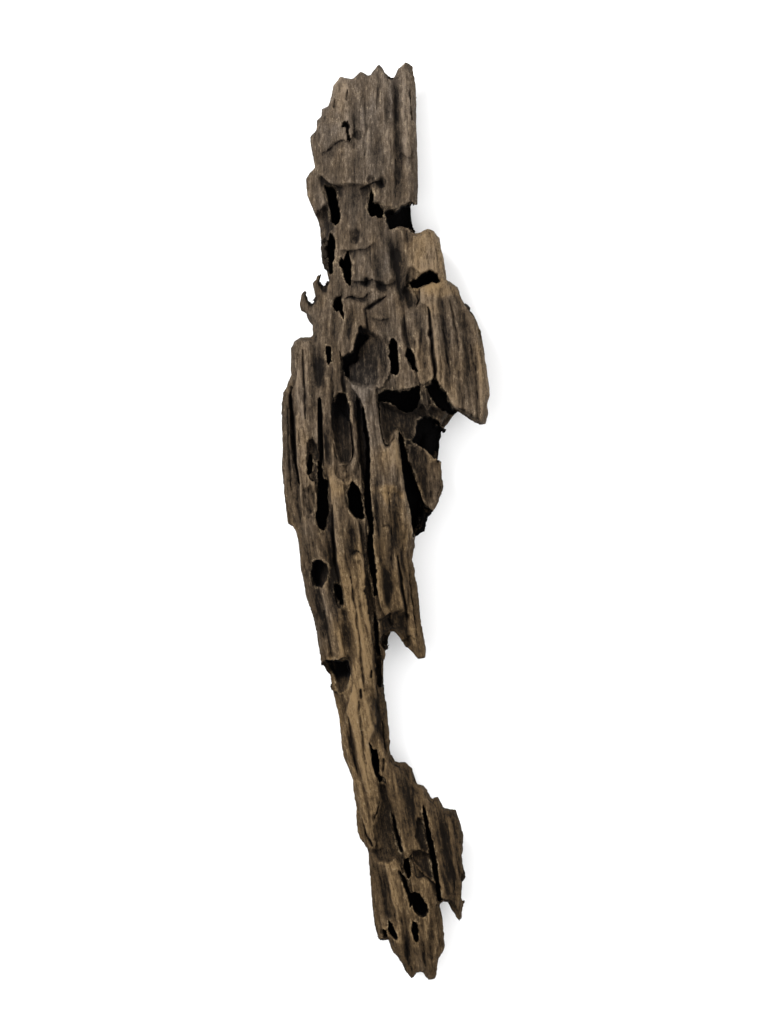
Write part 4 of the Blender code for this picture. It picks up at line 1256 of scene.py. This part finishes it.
def node_in(tree, kind, settings, values, output=0):
    """Adds a node: its settings first, then its values and links. Returns one of its outputs."""
    made = tree.nodes.new(kind)
    for name, value in settings.items():
        setattr(made, name, value)
    for name, value in values.items():
        if isinstance(value, Value):
            tree.links.new(value.socket, made.inputs[name])
        else:
            made.inputs[name].default_value = value
    return Value(tree, made.outputs[output])


def mixed(tree, factor, first, second):
    """A mix of two colours."""
    settings = {"data_type": "RGBA"}
    return node_in(tree, "ShaderNodeMix", settings, {0: factor, 6: first, 7: second}, output=2)


print("signs that add a Math node: + - *")

# %% [markdown]
# The colours go from almost black in the valleys, partly painted shade there, over brown to a pale
# crest, partly painted light. Each of the two sets holds those three colours, one for grey wood and
# one for warm wood. One set with a tint on top would do, but the crests of warm wood are more yellow
# than its valleys are.

# %% The colours of the wood
def srgb(red, green, blue):
    """A colour from 0 to 255 as the shader wants it."""
    shares = [channel / 255 for channel in (red, green, blue)]
    linear = [s / 12.92 if s < 0.04045 else ((s + 0.055) / 1.055) ** 2.4 for s in shares]
    return (*linear, 1)


GREY_SET = [srgb(17, 14, 12), srgb(66, 58, 50), srgb(110, 99, 88)]
WARM_SET = [srgb(18, 13, 8), srgb(68, 54, 37), srgb(118, 97, 69)]
FLECK = srgb(156, 138, 110)
# Almost black, painted as shade in deep hollows and closed-in places.
SHADE_BLACK = srgb(3, 2, 2)
print("crest of grey wood:", [round(channel, 3) for channel in GREY_SET[-1][:3]])

# %% [markdown]
# Five noises do what no measure can: streaks and fibres run far along the grain, mottle and crumbs
# are short, and clouds are wide. A picture of wood would show a seam or repeat itself, and noise
# has neither fault.

# %% Noises along the grain
material = bpy.data.materials.new("weathered_wood_fine")
material.use_nodes = True
tree = material.node_tree
shader = tree.nodes["Principled BSDF"]


def measured(name, output="Fac"):
    """What an earlier step kept on the mesh under this name."""
    return node_in(tree, "ShaderNodeAttribute", {"attribute_name": name}, {}, output=output)


grain_place = measured("grain", "Vector")


def texture(turns, detail=3.0, roughness=0.6):
    """Noise from 0 to 1, from how often it turns in each 100 mm across, along and in depth."""
    settings = {"operation": "MULTIPLY"}
    scaled = node_in(tree, "ShaderNodeVectorMath", settings, {0: grain_place, 1: turns})
    values = {"Vector": scaled, "Scale": 1.0, "Detail": detail, "Roughness": roughness}
    return node_in(tree, "ShaderNodeTexNoise", {}, values)


streaks = texture((110, 7, 40), 4.0)
fibres = texture((330, 26, 110))
mottle = texture((55, 26, 40), 5.0, 0.7)
crumbs = texture((240, 150, 200), 3.0, 0.7)
clouds = texture((9, 4, 7))
print("nodes so far:", len(tree.nodes))

# %% [markdown]
# One number, the tone, says how light a place is. It comes from the areas, the noises, the torn
# edges and the measured crests and relief, which add painted light on crests and painted shade in
# valleys and splits. A second, the warmth, grows towards the tail, where the real wood is more
# yellow. Two numbers are easier to set than colours that are mixed many times over.

# %% Tone and warmth
along = node_in(tree, "ShaderNodeSeparateXYZ", {}, {0: grain_place}, output=1)
tail_warmth = along.ramp(-1.8, -3.6) * 0.55
warm = (tail_warmth + 0.42 + measured("warmth") + (clouds - 0.5) * 1.2).clamped()
noise_part = (streaks - 0.5) * 0.8 + (fibres - 0.5) * 0.9 + (mottle - 0.5) * 1.2
noise_part = noise_part + (crumbs - 0.5) * 0.9
# Painted light on crests and painted shade in valleys, splits and grooves, partly the paler wear of
# crests.
relief_light_and_shade = measured("crest") * 0.24 + measured("relief") * 0.08
fresh = measured("torn") * crumbs.ramp(0.38, 0.6)
tone = 0.48 + measured("lightness") * 0.7 + relief_light_and_shade * 0.8 + noise_part * 0.8
tone = (tone + fresh * 0.4).clamped()
print("nodes so far:", len(tree.nodes))

# %% [markdown]
# The tone picks a colour out of each set, and the warmth mixes the two. Flecks of bare wood are
# paler still, and lie where the wood is light or freshly torn. Painted shade comes last: deep
# hollows, places far below the level and closed-in places turn almost black. The first layers are
# the wood's own colours, and the last is shade painted on them.

# %% The colour
def by_tone(colours):
    """The valley, middle or crest colour that the tone asks for."""
    lower = mixed(tree, tone.ramp(0.0, 0.55), colours[0], colours[1])
    return mixed(tree, tone.ramp(0.45, 1.0), lower, colours[2])


wood_colour = mixed(tree, warm, by_tone(GREY_SET), by_tone(WARM_SET))
bare = mottle.ramp(0.56, 0.66) * crumbs.ramp(0.5, 0.62)
bare = bare * (tone + measured("lightness")).ramp(0.5, 1.1)
bare = (bare + fresh * mottle.ramp(0.5, 0.62)).clamped()
wood_colour = mixed(tree, bare * 0.8, wood_colour, FLECK)
# Painted shade: places far below the level, the floors of deep hollows and closed-in places go almost
# black.
depth_and_pit_shade = measured("deep").ramp(9.0, 22.0) * 0.7 + measured("pit_shade")
painted_shade = (depth_and_pit_shade + measured("ambient_shade").ramp(0.4, 0.85) * 0.75).clamped()
wood_colour = mixed(tree, painted_shade, wood_colour, SHADE_BLACK)
tree.links.new(wood_colour.socket, shader.inputs["Base Color"])
print("nodes so far:", len(tree.nodes))

# %% [markdown]
# Dry wood is dull, and its fibres scatter the light a little more or less from place to place. The
# finest grain is smaller than the skin's triangles, so a bump gives it to the light. Everything
# larger is in the mesh, where it also shows in the outline and in shadows.

# %% Dullness and the finest grain
SHINE = 0.08
BUMP_STRENGTH = 0.9
BUMP_HEIGHT = 1.2 * MM

rough = 0.85 + (fibres - 0.5) * 0.2
tree.links.new(rough.socket, shader.inputs["Roughness"])
height = streaks * 0.5 + fibres * 0.55 + mottle * 0.5 + crumbs * 0.35
bump_values = {"Height": height, "Strength": BUMP_STRENGTH, "Distance": BUMP_HEIGHT}
bump = node_in(tree, "ShaderNodeBump", {}, bump_values, output="Normal")
tree.links.new(bump.socket, shader.inputs["Normal"])
shader.inputs["Metallic"].default_value = 0
shader.inputs["Specular IOR Level"].default_value = SHINE
wood_mesh.materials.clear()
wood_mesh.materials.append(material)
wood_mesh.shade_smooth()
print("nodes of the wood:", len(tree.nodes))

# %% [markdown]
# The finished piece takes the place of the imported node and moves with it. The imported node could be
# given the material instead, but it is far too coarse for splits. The two boxes are kept, so that a
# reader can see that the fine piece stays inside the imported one.

# %% The piece and its size
driftwood = bpy.data.objects.new("driftwood_carved", wood_mesh)
bpy.context.scene.collection.objects.link(driftwood)
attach(driftwood, "root")
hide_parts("driftwood")
